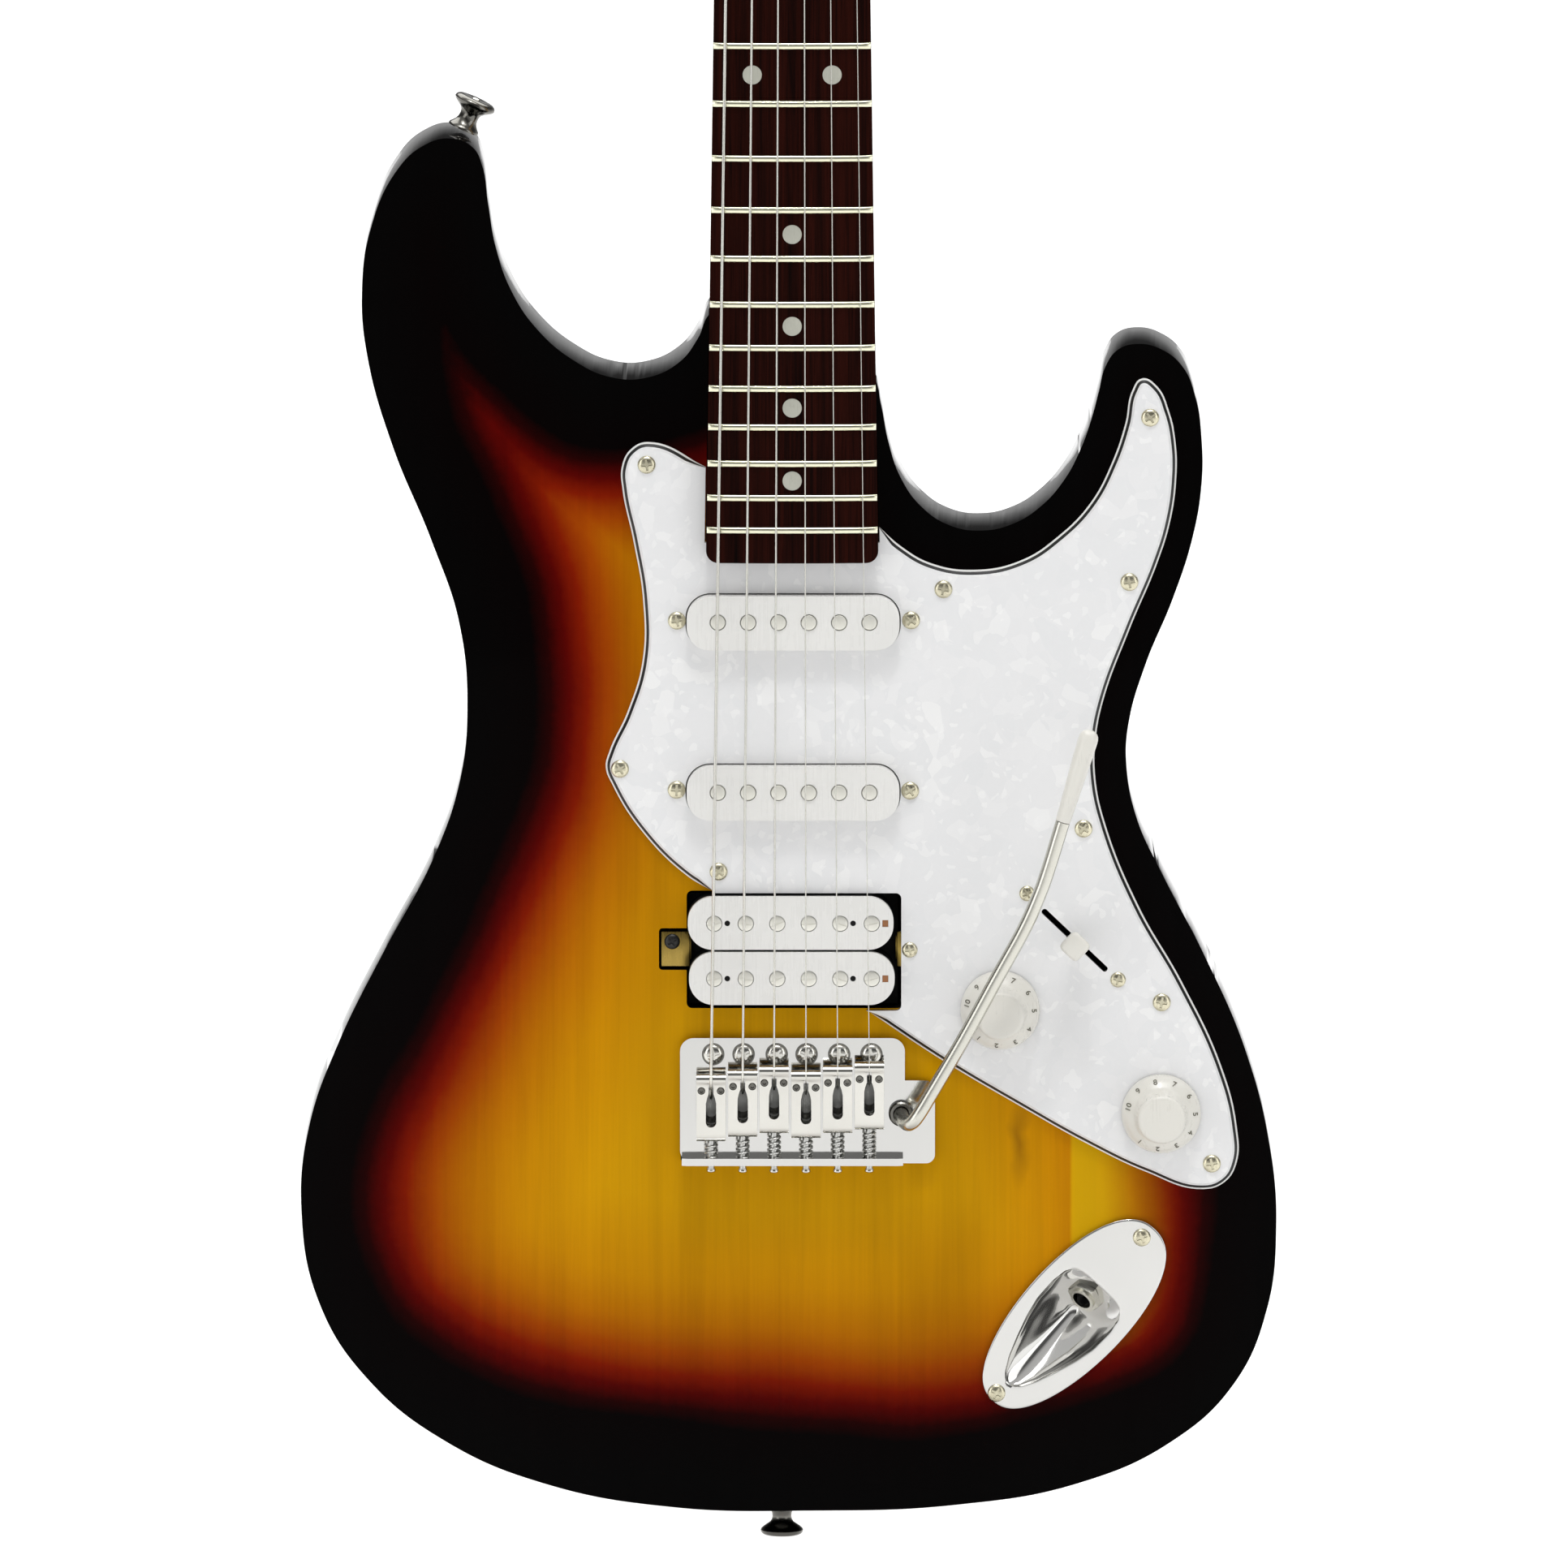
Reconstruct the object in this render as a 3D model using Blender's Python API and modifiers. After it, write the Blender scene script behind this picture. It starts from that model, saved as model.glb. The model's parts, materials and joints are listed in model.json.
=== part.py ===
"""Solid-body electric guitar with a spring-balanced vibrato bridge.

Frame: metres, +Z up along the strings towards the headstock, the front faces -Y,
+X is the treble side. The origin is on the centre line at the nut's bearing edge,
in the plane of the body's front face. Lengths below are in millimetres.
"""

import math

import bmesh
import bpy
from mathutils import Matrix, Vector

for old in list(bpy.data.objects):
    bpy.data.objects.remove(old, do_unlink=True)

MM = 0.001
GAP = 0.3  # clearance between parts that touch in the real instrument

# ---- driving dimensions -------------------------------------------------------
SCALE = 648.0  # nut to twelfth fret, doubled
FRETS = 22
BODY_DEPTH = 44.0
BODY_ROUND = 4.0

BOARD_TOP = -9.4
BOARD_UNDER = -3.4
BOARD_END = -477.2
BOARD_RADIUS = 305.0
NUT_HALF = 21.75
BOARD_TAPER = 0.01415  # half width gained per mm of length
FRET_HIGH, FRET_WIDE = 1.1, 2.4

POCKET_FLOOR = 16.0
HEEL_END = -470.4

HEAD_BACK = 14.0

GUARD_FRONT, GUARD_BACK = -2.6, -0.3

STRING_NUT_X = (-18.0, -10.8, -3.6, 3.6, 10.8, 18.0)
STRING_BRIDGE_X = (-26.9, -16.4, -6.0, 4.6, 15.1, 25.6)
STRING_R = (0.53, 0.42, 0.33, 0.23, 0.19, 0.15)
STRING_NUT_Y, STRING_BRIDGE_Y = -11.0, -14.3

PICKUP_Z = (-497.5, -554.4)
PICKUP_LONG, PICKUP_HIGH, PICKUP_TOP = 70.5, 18.1, -7.4
POLE_PITCH = 10.05
COIL_Z = (-597.9, -616.4)
COIL_X = (-0.5, -0.1)
COIL_LONG, COIL_HIGH, COIL_TOP = 68.2, 17.7, -7.0

PIVOT_Z, PIVOT_Y = -642.4, -1.4
PLATE_TOP, PLATE_UNDER = -3.2, -0.8
PLATE_FRONT, PLATE_REAR = -636.9, -679.0
BLOCK_BOTTOM = 36.0
SADDLE_FRONT = (-647.6, -646.0, -644.7, -646.3, -644.7, -643.6)
SADDLE_LONG, SADDLE_WIDE = 23.2, 9.7
ARM_X, ARM_Z, ARM_R = 36.2, -662.0, 2.4

VOLUME = (69.0, -627.5)
TONE = (122.5, -662.2)
SWITCH = (93.7, -604.2)
SWITCH_DIR = (0.723, -0.691)
SWITCH_PIVOT_Y = 16.0

JACK = (93.5, -730.0)
JACK_TURN = 43.0  # degrees from the Z axis towards +X, of the plate's long axis
JACK_LONG, JACK_WIDE = 79.0, 35.0

POST_FIRST = 34.0
POST_STEP = 26.0


def half_width(z):
    """Half the fingerboard's width at height z."""
    return NUT_HALF - BOARD_TAPER * z


def crown(x):
    """How far the arched board and the string plane fall away from the centre line."""
    return x * x / (2 * BOARD_RADIUS)


# ---- collections and materials --------------------------------------------------
parts = bpy.data.collections.new("electric_guitar")
cutters = bpy.data.collections.new("cutters")
for collection in (parts, cutters):
    bpy.context.scene.collection.children.link(collection)


def material(name, colour, roughness, metallic=0.0):
    made = bpy.data.materials.new(name)
    made.use_nodes = True
    shader = made.node_tree.nodes["Principled BSDF"]
    shader.inputs["Base Color"].default_value = (*colour, 1.0)
    shader.inputs["Roughness"].default_value = roughness
    shader.inputs["Metallic"].default_value = metallic
    made.diffuse_color = (*colour, 1.0)
    return made


SUNBURST = material("sunburst_lacquer", (0.48, 0.22, 0.01), 0.12)
MAPLE = material("maple", (0.62, 0.42, 0.2), 0.3)
ROSEWOOD = material("rosewood", (0.035, 0.02, 0.015), 0.5)
PEARL = material("pearl_sheet", (0.75, 0.75, 0.72), 0.2)
CREAM = material("cream_plastic", (0.76, 0.74, 0.68), 0.3)
BLACK = material("black_plastic", (0.02, 0.02, 0.02), 0.4)
CHROME = material("chrome", (0.75, 0.74, 0.7), 0.08, 1.0)
NICKEL = material("nickel", (0.62, 0.6, 0.5), 0.22, 1.0)
BRASS = material("brass", (0.65, 0.5, 0.2), 0.3, 1.0)
STEEL = material("steel", (0.5, 0.5, 0.48), 0.3, 1.0)
BONE = material("bone", (0.8, 0.76, 0.65), 0.35)
DARK = material("black_nickel", (0.06, 0.06, 0.06), 0.25, 1.0)


# ---- shape helpers -------------------------------------------------------------------
def new_object(name, data, mat=None, cutter=False):
    obj = bpy.data.objects.new(name, data)
    (cutters if cutter else parts).objects.link(obj)
    if cutter:
        obj.hide_render = True
        obj.display_type = "WIRE"
    if mat:
        data.materials.append(mat)
    return obj


def smooth(mesh, angle=35):
    mesh.shade_smooth()
    mesh.set_sharp_from_angle(angle=math.radians(angle))


def from_bmesh(name, bm, mat=None, cutter=False):
    bmesh.ops.recalc_face_normals(bm, faces=bm.faces)
    mesh = bpy.data.meshes.new(name)
    bm.to_mesh(mesh)
    bm.free()
    smooth(mesh)
    return new_object(name, mesh, mat, cutter)


def box(name, lo, hi, mat=None, cutter=False, turn=None):
    """A block between two corners; turn is a matrix in millimetres that places it."""
    bm = bmesh.new()
    bmesh.ops.create_cube(bm, size=1.0)
    for vert in bm.verts:
        at = Vector(lo[i] + (vert.co[i] + 0.5) * (hi[i] - lo[i]) for i in range(3))
        vert.co = (turn @ at if turn else at) * MM
    return from_bmesh(name, bm, mat, cutter)


def rod(name, start, end, radius, mat=None, cutter=False, sides=16, end_radius=None):
    """A round bar or cone between two points."""
    start, end = Vector(start) * MM, Vector(end) * MM
    run = end - start
    bm = bmesh.new()
    bmesh.ops.create_cone(
        bm,
        cap_ends=True,
        segments=sides,
        radius1=radius * MM,
        radius2=(radius if end_radius is None else end_radius) * MM,
        depth=run.length,
        matrix=Matrix.Translation((start + end) / 2)
        @ run.to_track_quat("Z", "Y").to_matrix().to_4x4(),
    )
    return from_bmesh(name, bm, mat, cutter)


def realise(obj):
    """Turns a curve object into a mesh object with welded caps."""
    bpy.context.view_layer.update()
    graph = bpy.context.evaluated_depsgraph_get()
    mesh = bpy.data.meshes.new_from_object(obj.evaluated_get(graph))
    bm = bmesh.new()
    bm.from_mesh(mesh)
    bmesh.ops.remove_doubles(bm, verts=bm.verts, dist=1e-6)
    bmesh.ops.recalc_face_normals(bm, faces=bm.faces)
    bm.to_mesh(mesh)
    bm.free()
    made = bpy.data.objects.new(obj.name, mesh)
    made.matrix_world = obj.matrix_world
    for collection in obj.users_collection:
        collection.objects.link(made)
    made.hide_render, made.display_type = obj.hide_render, obj.display_type
    name, data = obj.name, obj.data
    bpy.data.objects.remove(obj)
    bpy.data.curves.remove(data)
    made.name = name
    smooth(mesh)
    return made


def sheet(name, outlines, front, back, mat=None, cutter=False, steps=4):
    """Flat outlines in the X-Z plane, extruded from Y = front to Y = back.

    Each outline is a list of (x, z) or (x, z, "corner") points. Outlines with a corner
    or smooth points are Bezier splines; inner outlines become holes.
    """
    curve = bpy.data.curves.new(name, "CURVE")
    curve.dimensions, curve.fill_mode = "2D", "BOTH"
    curve.extrude = abs(back - front) / 2 * MM
    curve.resolution_u = steps
    for outline in outlines:
        straight = all(len(point) == 3 for point in outline)
        if straight:
            spline = curve.splines.new("POLY")
            spline.points.add(len(outline) - 1)
            for knot, point in zip(spline.points, outline):
                knot.co = (point[0] * MM, point[1] * MM, 0, 1)
        else:
            spline = curve.splines.new("BEZIER")
            spline.bezier_points.add(len(outline) - 1)
            for knot, point in zip(spline.bezier_points, outline):
                knot.co = (point[0] * MM, point[1] * MM, 0)
                kind = "VECTOR" if len(point) == 3 else "AUTO"
                knot.handle_left_type = knot.handle_right_type = kind
        spline.use_cyclic_u = True
    obj = new_object(name, curve, mat, cutter)
    obj = realise(obj)
    obj.data.transform(
        Matrix.Translation((0, (front + back) / 2 * MM, 0))
        @ Matrix.Rotation(math.radians(90), 4, "X")
    )
    smooth(obj.data)
    return obj


def corner_box(cx, cz, wide, high, radius, steps=4, turn=0.0):
    """Outline of a rectangle with round corners."""
    outline = []
    for sx, sz, first in ((1, 1, 0), (-1, 1, 90), (-1, -1, 180), (1, -1, 270)):
        for i in range(steps + 1):
            a = math.radians(first + 90 * i / steps)
            x = sx * (wide / 2 - radius) + radius * math.cos(a)
            z = sz * (high / 2 - radius) + radius * math.sin(a)
            t = math.radians(turn)
            outline.append(
                (
                    cx + x * math.cos(t) - z * math.sin(t),
                    cz + x * math.sin(t) + z * math.cos(t),
                    "corner",
                )
            )
    return outline


def ring(cx, cz, radius, steps=16):
    return [
        (
            cx + radius * math.cos(2 * math.pi * i / steps),
            cz + radius * math.sin(2 * math.pi * i / steps),
            "corner",
        )
        for i in range(steps)
    ]


def turned(name, profile, base, axis, mat=None, cutter=False, steps=16):
    """A turned shape: (radius, height) points from the top down the outer side."""
    mesh = bpy.data.meshes.new(name)
    points = [(r * MM, 0, h * MM) for r, h in profile]
    mesh.from_pydata(points, [(i, i + 1) for i in range(len(points) - 1)], [])
    obj = new_object(name, mesh, mat, cutter)
    screw = obj.modifiers.new("turn", "SCREW")
    screw.axis, screw.angle = "Z", 2 * math.pi
    screw.steps = screw.render_steps = steps
    screw.use_merge_vertices, screw.merge_threshold = True, 0.00005
    screw.use_smooth_shade = True
    obj.location = Vector(base) * MM
    obj.rotation_mode = "QUATERNION"
    obj.rotation_quaternion = Vector(axis).to_track_quat("Z", "Y")
    return obj


def tube(name, points, radius, mat=None, radii=None, detail=2):
    """A round wire through points; radii scales it point by point."""
    curve = bpy.data.curves.new(name, "CURVE")
    curve.dimensions, curve.bevel_depth = "3D", radius * MM
    curve.bevel_resolution, curve.use_fill_caps = detail, True
    spline = curve.splines.new("POLY")
    spline.points.add(len(points) - 1)
    for i, point in enumerate(points):
        spline.points[i].co = (*(Vector(point) * MM), 1)
        spline.points[i].radius = radii[i] if radii else 1.0
    spline.use_smooth = True
    return new_object(name, curve, mat)


def through(points, steps):
    """Points on the smooth curve that passes through the given ones."""
    ends = [Vector(p) for p in points]
    ends = [2 * ends[0] - ends[1], *ends, 2 * ends[-1] - ends[-2]]
    out = []
    for a, b, c, d in zip(ends, ends[1:], ends[2:], ends[3:]):
        for i in range(steps):
            t = i / steps
            out.append(
                0.5
                * (
                    2 * b
                    + (c - a) * t
                    + (2 * a - 5 * b + 4 * c - d) * t * t
                    + (3 * b - a - 3 * c + d) * t * t * t
                )
            )
    return [*out, ends[-2]]


def loft(name, sections, mat=None, cutter=False):
    """Skins a row of closed rings that have the same number of points."""
    bm = bmesh.new()
    rings = [[bm.verts.new(Vector(p) * MM) for p in section] for section in sections]
    for low, high in zip(rings, rings[1:]):
        for i in range(len(low)):
            j = (i + 1) % len(low)
            bm.faces.new((low[i], low[j], high[j], high[i]))
    bm.faces.new(rings[0])
    bm.faces.new(rings[-1])
    return from_bmesh(name, bm, mat, cutter)


def combine(obj, other, operation="DIFFERENCE"):
    mod = obj.modifiers.new(other.name, "BOOLEAN")
    mod.operation, mod.solver, mod.object = operation, "EXACT", other
    return obj


def bevel(obj, width, segments=2, angle=40):
    mod = obj.modifiers.new("edge", "BEVEL")
    mod.width, mod.segments = width * MM, segments
    mod.limit_method, mod.angle_limit = "ANGLE", math.radians(angle)
    return obj


def hang_on(obj, point):
    """Moves an object's origin to a point, leaving its shape where it is."""
    place = Vector(point) * MM
    obj.data.transform(Matrix.Translation(obj.location - place))
    obj.location = place
    return obj


def pivot_empty(name, point):
    empty = bpy.data.objects.new(name, None)
    empty.location = Vector(point) * MM
    empty.empty_display_size = 0.01
    parts.objects.link(empty)
    return empty


def ride_on(child, parent):
    """Parents a piece without moving it."""
    child.parent = parent
    child.matrix_parent_inverse = Matrix.Translation(parent.location).inverted()


# ---- body -----------------------------------------------------------------------------
BODY_OUTLINE = [
    # heel of the neck joint, bass to treble
    (-27.4, -395.2), (-22.5, -392.6), (-14.0, -395.2), (10.0, -405.5), (21.0, -410.5),
    (27.0, -416.0), (29.4, -425.0), (32.0, -438.2), (36.0, -449.8), (43.0, -459.6),
    # treble cutaway and horn
    (52.5, -465.8), (63.0, -467.4), (73.0, -465.2), (82.0, -459.6), (90.0, -450.6),
    (95.5, -440.2), (99.3, -429.4), (101.4, -421.4), (103.8, -412.4), (108.0, -406.9),
    (114.6, -405.1), (122.0, -406.8), (129.2, -412.6), (133.6, -423.0), (135.6, -437.0),
    (135.6, -452.0), (132.6, -470.0), (126.2, -490.0), (117.0, -512.5),
    # treble waist and lower bout
    (111.6, -531.5), (110.8, -545.5), (114.4, -564.0), (122.6, -582.0), (136.4, -608.8),
    (150.2, -640.6), (158.6, -673.5), (160.8, -701.0), (157.6, -729.0), (146.6, -753.8),
    (126.0, -773.0), (95.0, -787.0), (55.0, -794.2), (5.0, -796.2), (-40.0, -795.0),
    (-82.0, -787.2), (-115.0, -773.0), (-141.0, -752.0), (-157.0, -726.6),
    # bass lower bout, waist and horn
    (-163.0, -695.0), (-160.4, -667.0), (-150.6, -639.0), (-135.6, -608.5),
    (-119.0, -577.0), (-110.4, -552.0), (-107.7, -528.0), (-110.4, -498.0),
    (-119.4, -471.0), (-132.4, -439.0), (-140.6, -409.5), (-142.4, -388.0),
    (-139.4, -366.4), (-130.6, -347.0), (-122.0, -339.0), (-113.0, -336.6),
    (-105.6, -339.6), (-102.4, -346.0), (-100.6, -358.0), (-98.0, -373.0),
    (-92.8, -387.6), (-84.4, -400.2), (-72.0, -410.8), (-60.0, -416.2),
    (-48.4, -416.4), (-37.4, -411.2), (-31.2, -403.2),
]

body = sheet("body", [BODY_OUTLINE], 0.0, BODY_DEPTH, SUNBURST, steps=2)
bevel(body, BODY_ROUND, 2, 50)

# hollow of the waist on the back, where the player's ribs rest
bm = bmesh.new()
bmesh.ops.create_uvsphere(bm, u_segments=40, v_segments=24, radius=300 * MM)
for vert in bm.verts:
    vert.co.z *= 400 / 300
    vert.co += Vector((-175, 322, -535)) * MM
combine(body, from_bmesh("rib_hollow", bm, cutter=True))

pocket = [
    (-half_width(-380) - GAP, -380, "corner"),
    (half_width(-380) + GAP, -380, "corner"),
    (half_width(HEEL_END) + GAP, HEEL_END - GAP, "corner"),
    (-half_width(HEEL_END) - GAP, HEEL_END - GAP, "corner"),
]
combine(body, sheet("neck_pocket", [pocket], -8, POCKET_FLOOR, cutter=True))
for label, z in zip(("neck", "middle"), PICKUP_Z):
    combine(
        body,
        box(f"{label}_pickup_rout", (-45, -5, z - 12), (45, 17, z + 12), cutter=True),
    )
combine(
    body, box("humbucker_rout", (-35.0, -5, -627.3), (35.8, 19, -588.9), cutter=True)
)
combine(
    body, box("left_ear_rout", (-44.0, -5, -614.6), (-34.0, 13, -600.6), cutter=True)
)
combine(
    body, box("right_ear_rout", (34.0, -5, -614.6), (46.0, 13, -600.6), cutter=True)
)
control = [
    (52, -590), (66, -580), (92, -579), (104, -587), (119, -612), (134, -645),
    (139, -664), (134, -676), (120, -677), (98, -666), (72, -652), (54, -640),
]  # fmt: skip
combine(
    body,
    sheet(
        "control_rout",
        [[(*p, "corner") for p in control]],
        -5,
        34,
        cutter=True,
    ),
)
combine(body, box("block_slot", (-37, -5, -678.3), (37, 30, -646.5), cutter=True))
combine(body, box("arm_slot", (36, -5.3, -678.6), (45, 29.6, -652.2), cutter=True))
combine(
    body,
    sheet(
        "spring_rout",
        [corner_box(0, -625, 98, 132, 8)],
        21,
        BODY_DEPTH + 5,
        cutter=True,
    ),
)

jack_turn = Matrix.Translation(Vector((JACK[0], 0, JACK[1]))) @ Matrix.Rotation(
    math.radians(JACK_TURN), 4, "Y"
)
combine(
    body,
    box("jack_rout", (-12, -5, -31), (12, 34, 31), cutter=True, turn=jack_turn),
)

# ---- neck ------------------------------------------------------------------------------
NECK_TOP = BOARD_UNDER + GAP


def neck_section(z, half, top, back, squareness):
    """D-shaped section: flat under the board, round behind."""
    out = []
    for i in range(13):
        a = math.pi * i / 12
        c, s = math.cos(a), math.sin(a)
        out.append(
            (
                half * math.copysign(abs(c) ** (2 / squareness), c),
                top + (back - top) * abs(s) ** (2 / squareness),
                z,
            )
        )
    return out


stations = [
    (32, 15.0, 3.0, 10.5, 2.4),
    (18, 19.5, 1.6, 11.5, 2.4),
    (9, 21.0, -0.6, 12.0, 2.4),
    (4.2, half_width(0) - 0.1, NECK_TOP, 12.0, 2.3),
    (0, half_width(0) - 0.1, NECK_TOP, 11.6, 2.2),
]
for z, back, squareness in (
    (-60, 12.0, 2.2), (-140, 12.5, 2.2), (-220, 13.0, 2.2), (-300, 13.5, 2.2),
    (-350, 13.9, 2.3), (-372, 14.5, 2.8), (-386, 15.3, 4.5),
    (-393, POCKET_FLOOR - GAP, 8.0), (HEEL_END, POCKET_FLOOR - GAP, 9.0),
):  # fmt: skip
    stations.append((z, half_width(z) - 0.1, NECK_TOP, back, squareness))
neck = loft("neck", [neck_section(*s) for s in stations], MAPLE)

post_slope = None


def string_x(index, z):
    """Sideways place of a string at height z, on its line from bridge to nut."""
    nut, bridge = STRING_NUT_X[index], STRING_BRIDGE_X[index]
    return nut + (nut - bridge) / SCALE * z


POST_WAIST = 2.5
POSTS = []
for i in range(6):
    z = POST_FIRST + POST_STEP * i
    POSTS.append((string_x(i, z) - POST_WAIST - GAP - STRING_R[i], z))
EDGE = Vector((POSTS[5][0] - POSTS[0][0], 0, POSTS[5][1] - POSTS[0][1])).normalized()
OUT = Vector((-EDGE.z, 0, EDGE.x))  # from a post straight out to its button

edge_low = Vector((POSTS[0][0], 0, POSTS[0][1])) + OUT * 13.0 - EDGE * 8
edge_high = Vector((POSTS[5][0], 0, POSTS[5][1])) + OUT * 13.0 + EDGE * 10
head_outline = [
    (-21.4, -1.0), (-22.0, 6.0), (-25.2, 14.0), (-31.4, 20.5),
    (edge_low.x, edge_low.z, "corner"), (edge_high.x, edge_high.z, "corner"),
    (5.5, 187.0), (14.0, 191.0), (23.0, 187.5), (28.5, 177.0), (31.0, 160.0),
    (31.5, 130.0), (30.6, 95.0), (28.4, 60.0), (25.2, 30.0), (22.6, 12.0),
    (21.4, -1.0),
]  # fmt: skip
head = sheet("headstock_blank", [head_outline], 0.0, HEAD_BACK, cutter=True, steps=3)
bevel(head, 1.2, 1, 50)
combine(neck, head, "UNION")
for i, (x, z) in enumerate(POSTS):
    combine(neck, rod(f"post_hole_{i + 1}", (x, -4, z), (x, 18, z), 5.1, cutter=True, sides=12))

# ---- fingerboard with its frets -----------------------------------------------------------
end_half = half_width(BOARD_END)
board_outline = [
    (half_width(0), -GAP, "corner"),
    (-half_width(0), -GAP, "corner"),
]
for i in range(5):
    a = math.radians(180 + 90 * i / 4)
    board_outline.append(
        (-end_half + 4 + 4 * math.cos(a), BOARD_END + 4 + 4 * math.sin(a), "corner")
    )
for i in range(5):
    a = math.radians(270 + 90 * i / 4)
    board_outline.append(
        (end_half - 4 + 4 * math.cos(a), BOARD_END + 4 + 4 * math.sin(a), "corner")
    )
fingerboard = sheet(
    "fingerboard", [board_outline], BOARD_TOP - 1, BOARD_UNDER, ROSEWOOD
)
combine(
    fingerboard,
    rod(
        "board_arch",
        (0, BOARD_TOP + BOARD_RADIUS, 10),
        (0, BOARD_TOP + BOARD_RADIUS, BOARD_END - 10),
        BOARD_RADIUS,
        cutter=True,
        sides=144,
    ),
    "INTERSECT",
)


def fret_z(number):
    return -SCALE * (1 - 2 ** (-number / 12))


bm = bmesh.new()
for number in range(1, FRETS + 1):
    z = fret_z(number)
    half = half_width(z) - 0.25
    made = bmesh.ops.create_cube(bm, size=1.0)
    for vert in made["verts"]:
        vert.co = (
            Vector(
                (
                    vert.co.x * 2 * half,
                    (BOARD_TOP - 2.0) + (vert.co.y + 0.5) * 4.0,
                    z + vert.co.z * FRET_WIDE,
                )
            )
            * MM
        )
fret_wire = from_bmesh("fret_wire", bm, cutter=True)
combine(
    fret_wire,
    rod(
        "fret_arch",
        (0, BOARD_TOP + BOARD_RADIUS, 10),
        (0, BOARD_TOP + BOARD_RADIUS, BOARD_END - 10),
        BOARD_RADIUS + FRET_HIGH,
        cutter=True,
        sides=144,
    ),
    "INTERSECT",
)
combine(fingerboard, fret_wire, "UNION")

# ---- nut -----------------------------------------------------------------------------------
nut = box("nut", (-NUT_HALF, -11.6, 0.0), (NUT_HALF, BOARD_UNDER, 3.2), BONE)
combine(
    nut,
    rod(
        "nut_arch",
        (0, -11.6 + BOARD_RADIUS, 8),
        (0, -11.6 + BOARD_RADIUS, -5),
        BOARD_RADIUS,
        cutter=True,
        sides=144,
    ),
    "INTERSECT",
)
for i, x in enumerate(STRING_NUT_X):
    r = STRING_R[i] + GAP
    y = STRING_NUT_Y + crown(x) + r
    combine(nut, box(f"nut_slot_{i + 1}", (x - r, -14, -2), (x + r, y, 6), cutter=True))

# ---- plates on the back ------------------------------------------------------------------------
neck_plate = sheet(
    "neck_plate",
    [corner_box(0, -444, 50, 46, 5)],
    BODY_DEPTH + GAP,
    BODY_DEPTH + GAP + 1.6,
    CHROME,
)
back_cover = sheet(
    "back_cover",
    [corner_box(0, -625, 116, 152, 9), corner_box(0, -663.5, 72, 17, 5)],
    BODY_DEPTH + GAP,
    BODY_DEPTH + GAP + 2.0,
    BLACK,
)

# ---- pickguard ---------------------------------------------------------------------------------
edge_top = half_width(-446) + 0.6
edge_low_x = half_width(HEEL_END) + 0.6
guard_outline = [
    (-47.6, -437.8), (-edge_top, -446.1, "corner"),
    (-edge_low_x, HEEL_END - 0.7, "corner"), (edge_low_x, HEEL_END - 0.7, "corner"),
    (edge_top + 0.2, -466.2, "corner"),
    (36.0, -472.6), (46.0, -478.3), (60.7, -480.5), (75.9, -477.3), (88.0, -469.4),
    (98.9, -458.0), (106.0, -444.4), (110.3, -431.6), (112.6, -420.6), (115.8, -416.6),
    (120.6, -419.0), (124.8, -427.6), (127.0, -438.4), (127.2, -450.0),
    (125.2, -464.4), (121.2, -477.6), (111.8, -500.4), (103.0, -524.6),
    (100.6, -537.4), (100.5, -549.9), (103.6, -564.8), (114.9, -593.0),
    (129.4, -618.6), (142.4, -646.6), (147.6, -667.0), (147.6, -679.0),
    (143.6, -685.6), (136.0, -688.0), (117.5, -682.2), (98.2, -672.9), (74.2, -659.3),
    (49.9, -644.8), (24.6, -627.8, "corner"), (36.2, -627.8, "corner"),
    (36.2, -588.4, "corner"), (-25.6, -588.4, "corner"), (-35.0, -582.8),
    (-50.4, -567.2), (-59.6, -552.4), (-61.8, -546.4), (-60.6, -541.2),
    (-54.6, -528.0), (-49.6, -511.0), (-49.4, -490.6), (-52.6, -470.8),
    (-56.2, -453.6), (-56.4, -446.0), (-53.4, -440.2),
]  # fmt: skip
slot_turn = math.degrees(math.atan2(SWITCH_DIR[1], SWITCH_DIR[0]))
guard_holes = [corner_box(0.3, z, 71.3, 18.9, 8.3, 5) for z in PICKUP_Z]
guard_holes += [
    corner_box(*SWITCH, 29.5, 2.0, 0.9, 2, slot_turn),
    ring(*VOLUME, 4.4, 14),
    ring(*TONE, 4.4, 14),
]
pickguard = sheet(
    "pickguard", [guard_outline, *guard_holes], GUARD_FRONT, GUARD_BACK, PEARL, steps=2
)

# ---- pickups -------------------------------------------------------------------------------------
for label, z in zip(("neck", "middle"), PICKUP_Z):
    cover = sheet(
        f"{label}_pickup",
        [corner_box(0.3, z, PICKUP_LONG, PICKUP_HIGH, 7.6, 4)],
        PICKUP_TOP,
        12,
        CREAM,
    )
    bevel(cover, 0.8, 1, 60)
    flange = sheet(
        f"{label}_flange", [corner_box(0.3, z, 85, 16.4, 6, 3)], 1.0, 3.0, cutter=True
    )
    combine(cover, flange, "UNION")
    for i in range(6):
        x = 0.5 + POLE_PITCH * (i - 2.5)
        pole = rod(
            f"{label}_pole_{i + 1}",
            (x, PICKUP_TOP - 0.5, z),
            (x, PICKUP_TOP + 3, z),
            2.45,
            cutter=True,
            sides=8,
        )
        combine(cover, pole, "UNION")

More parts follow.
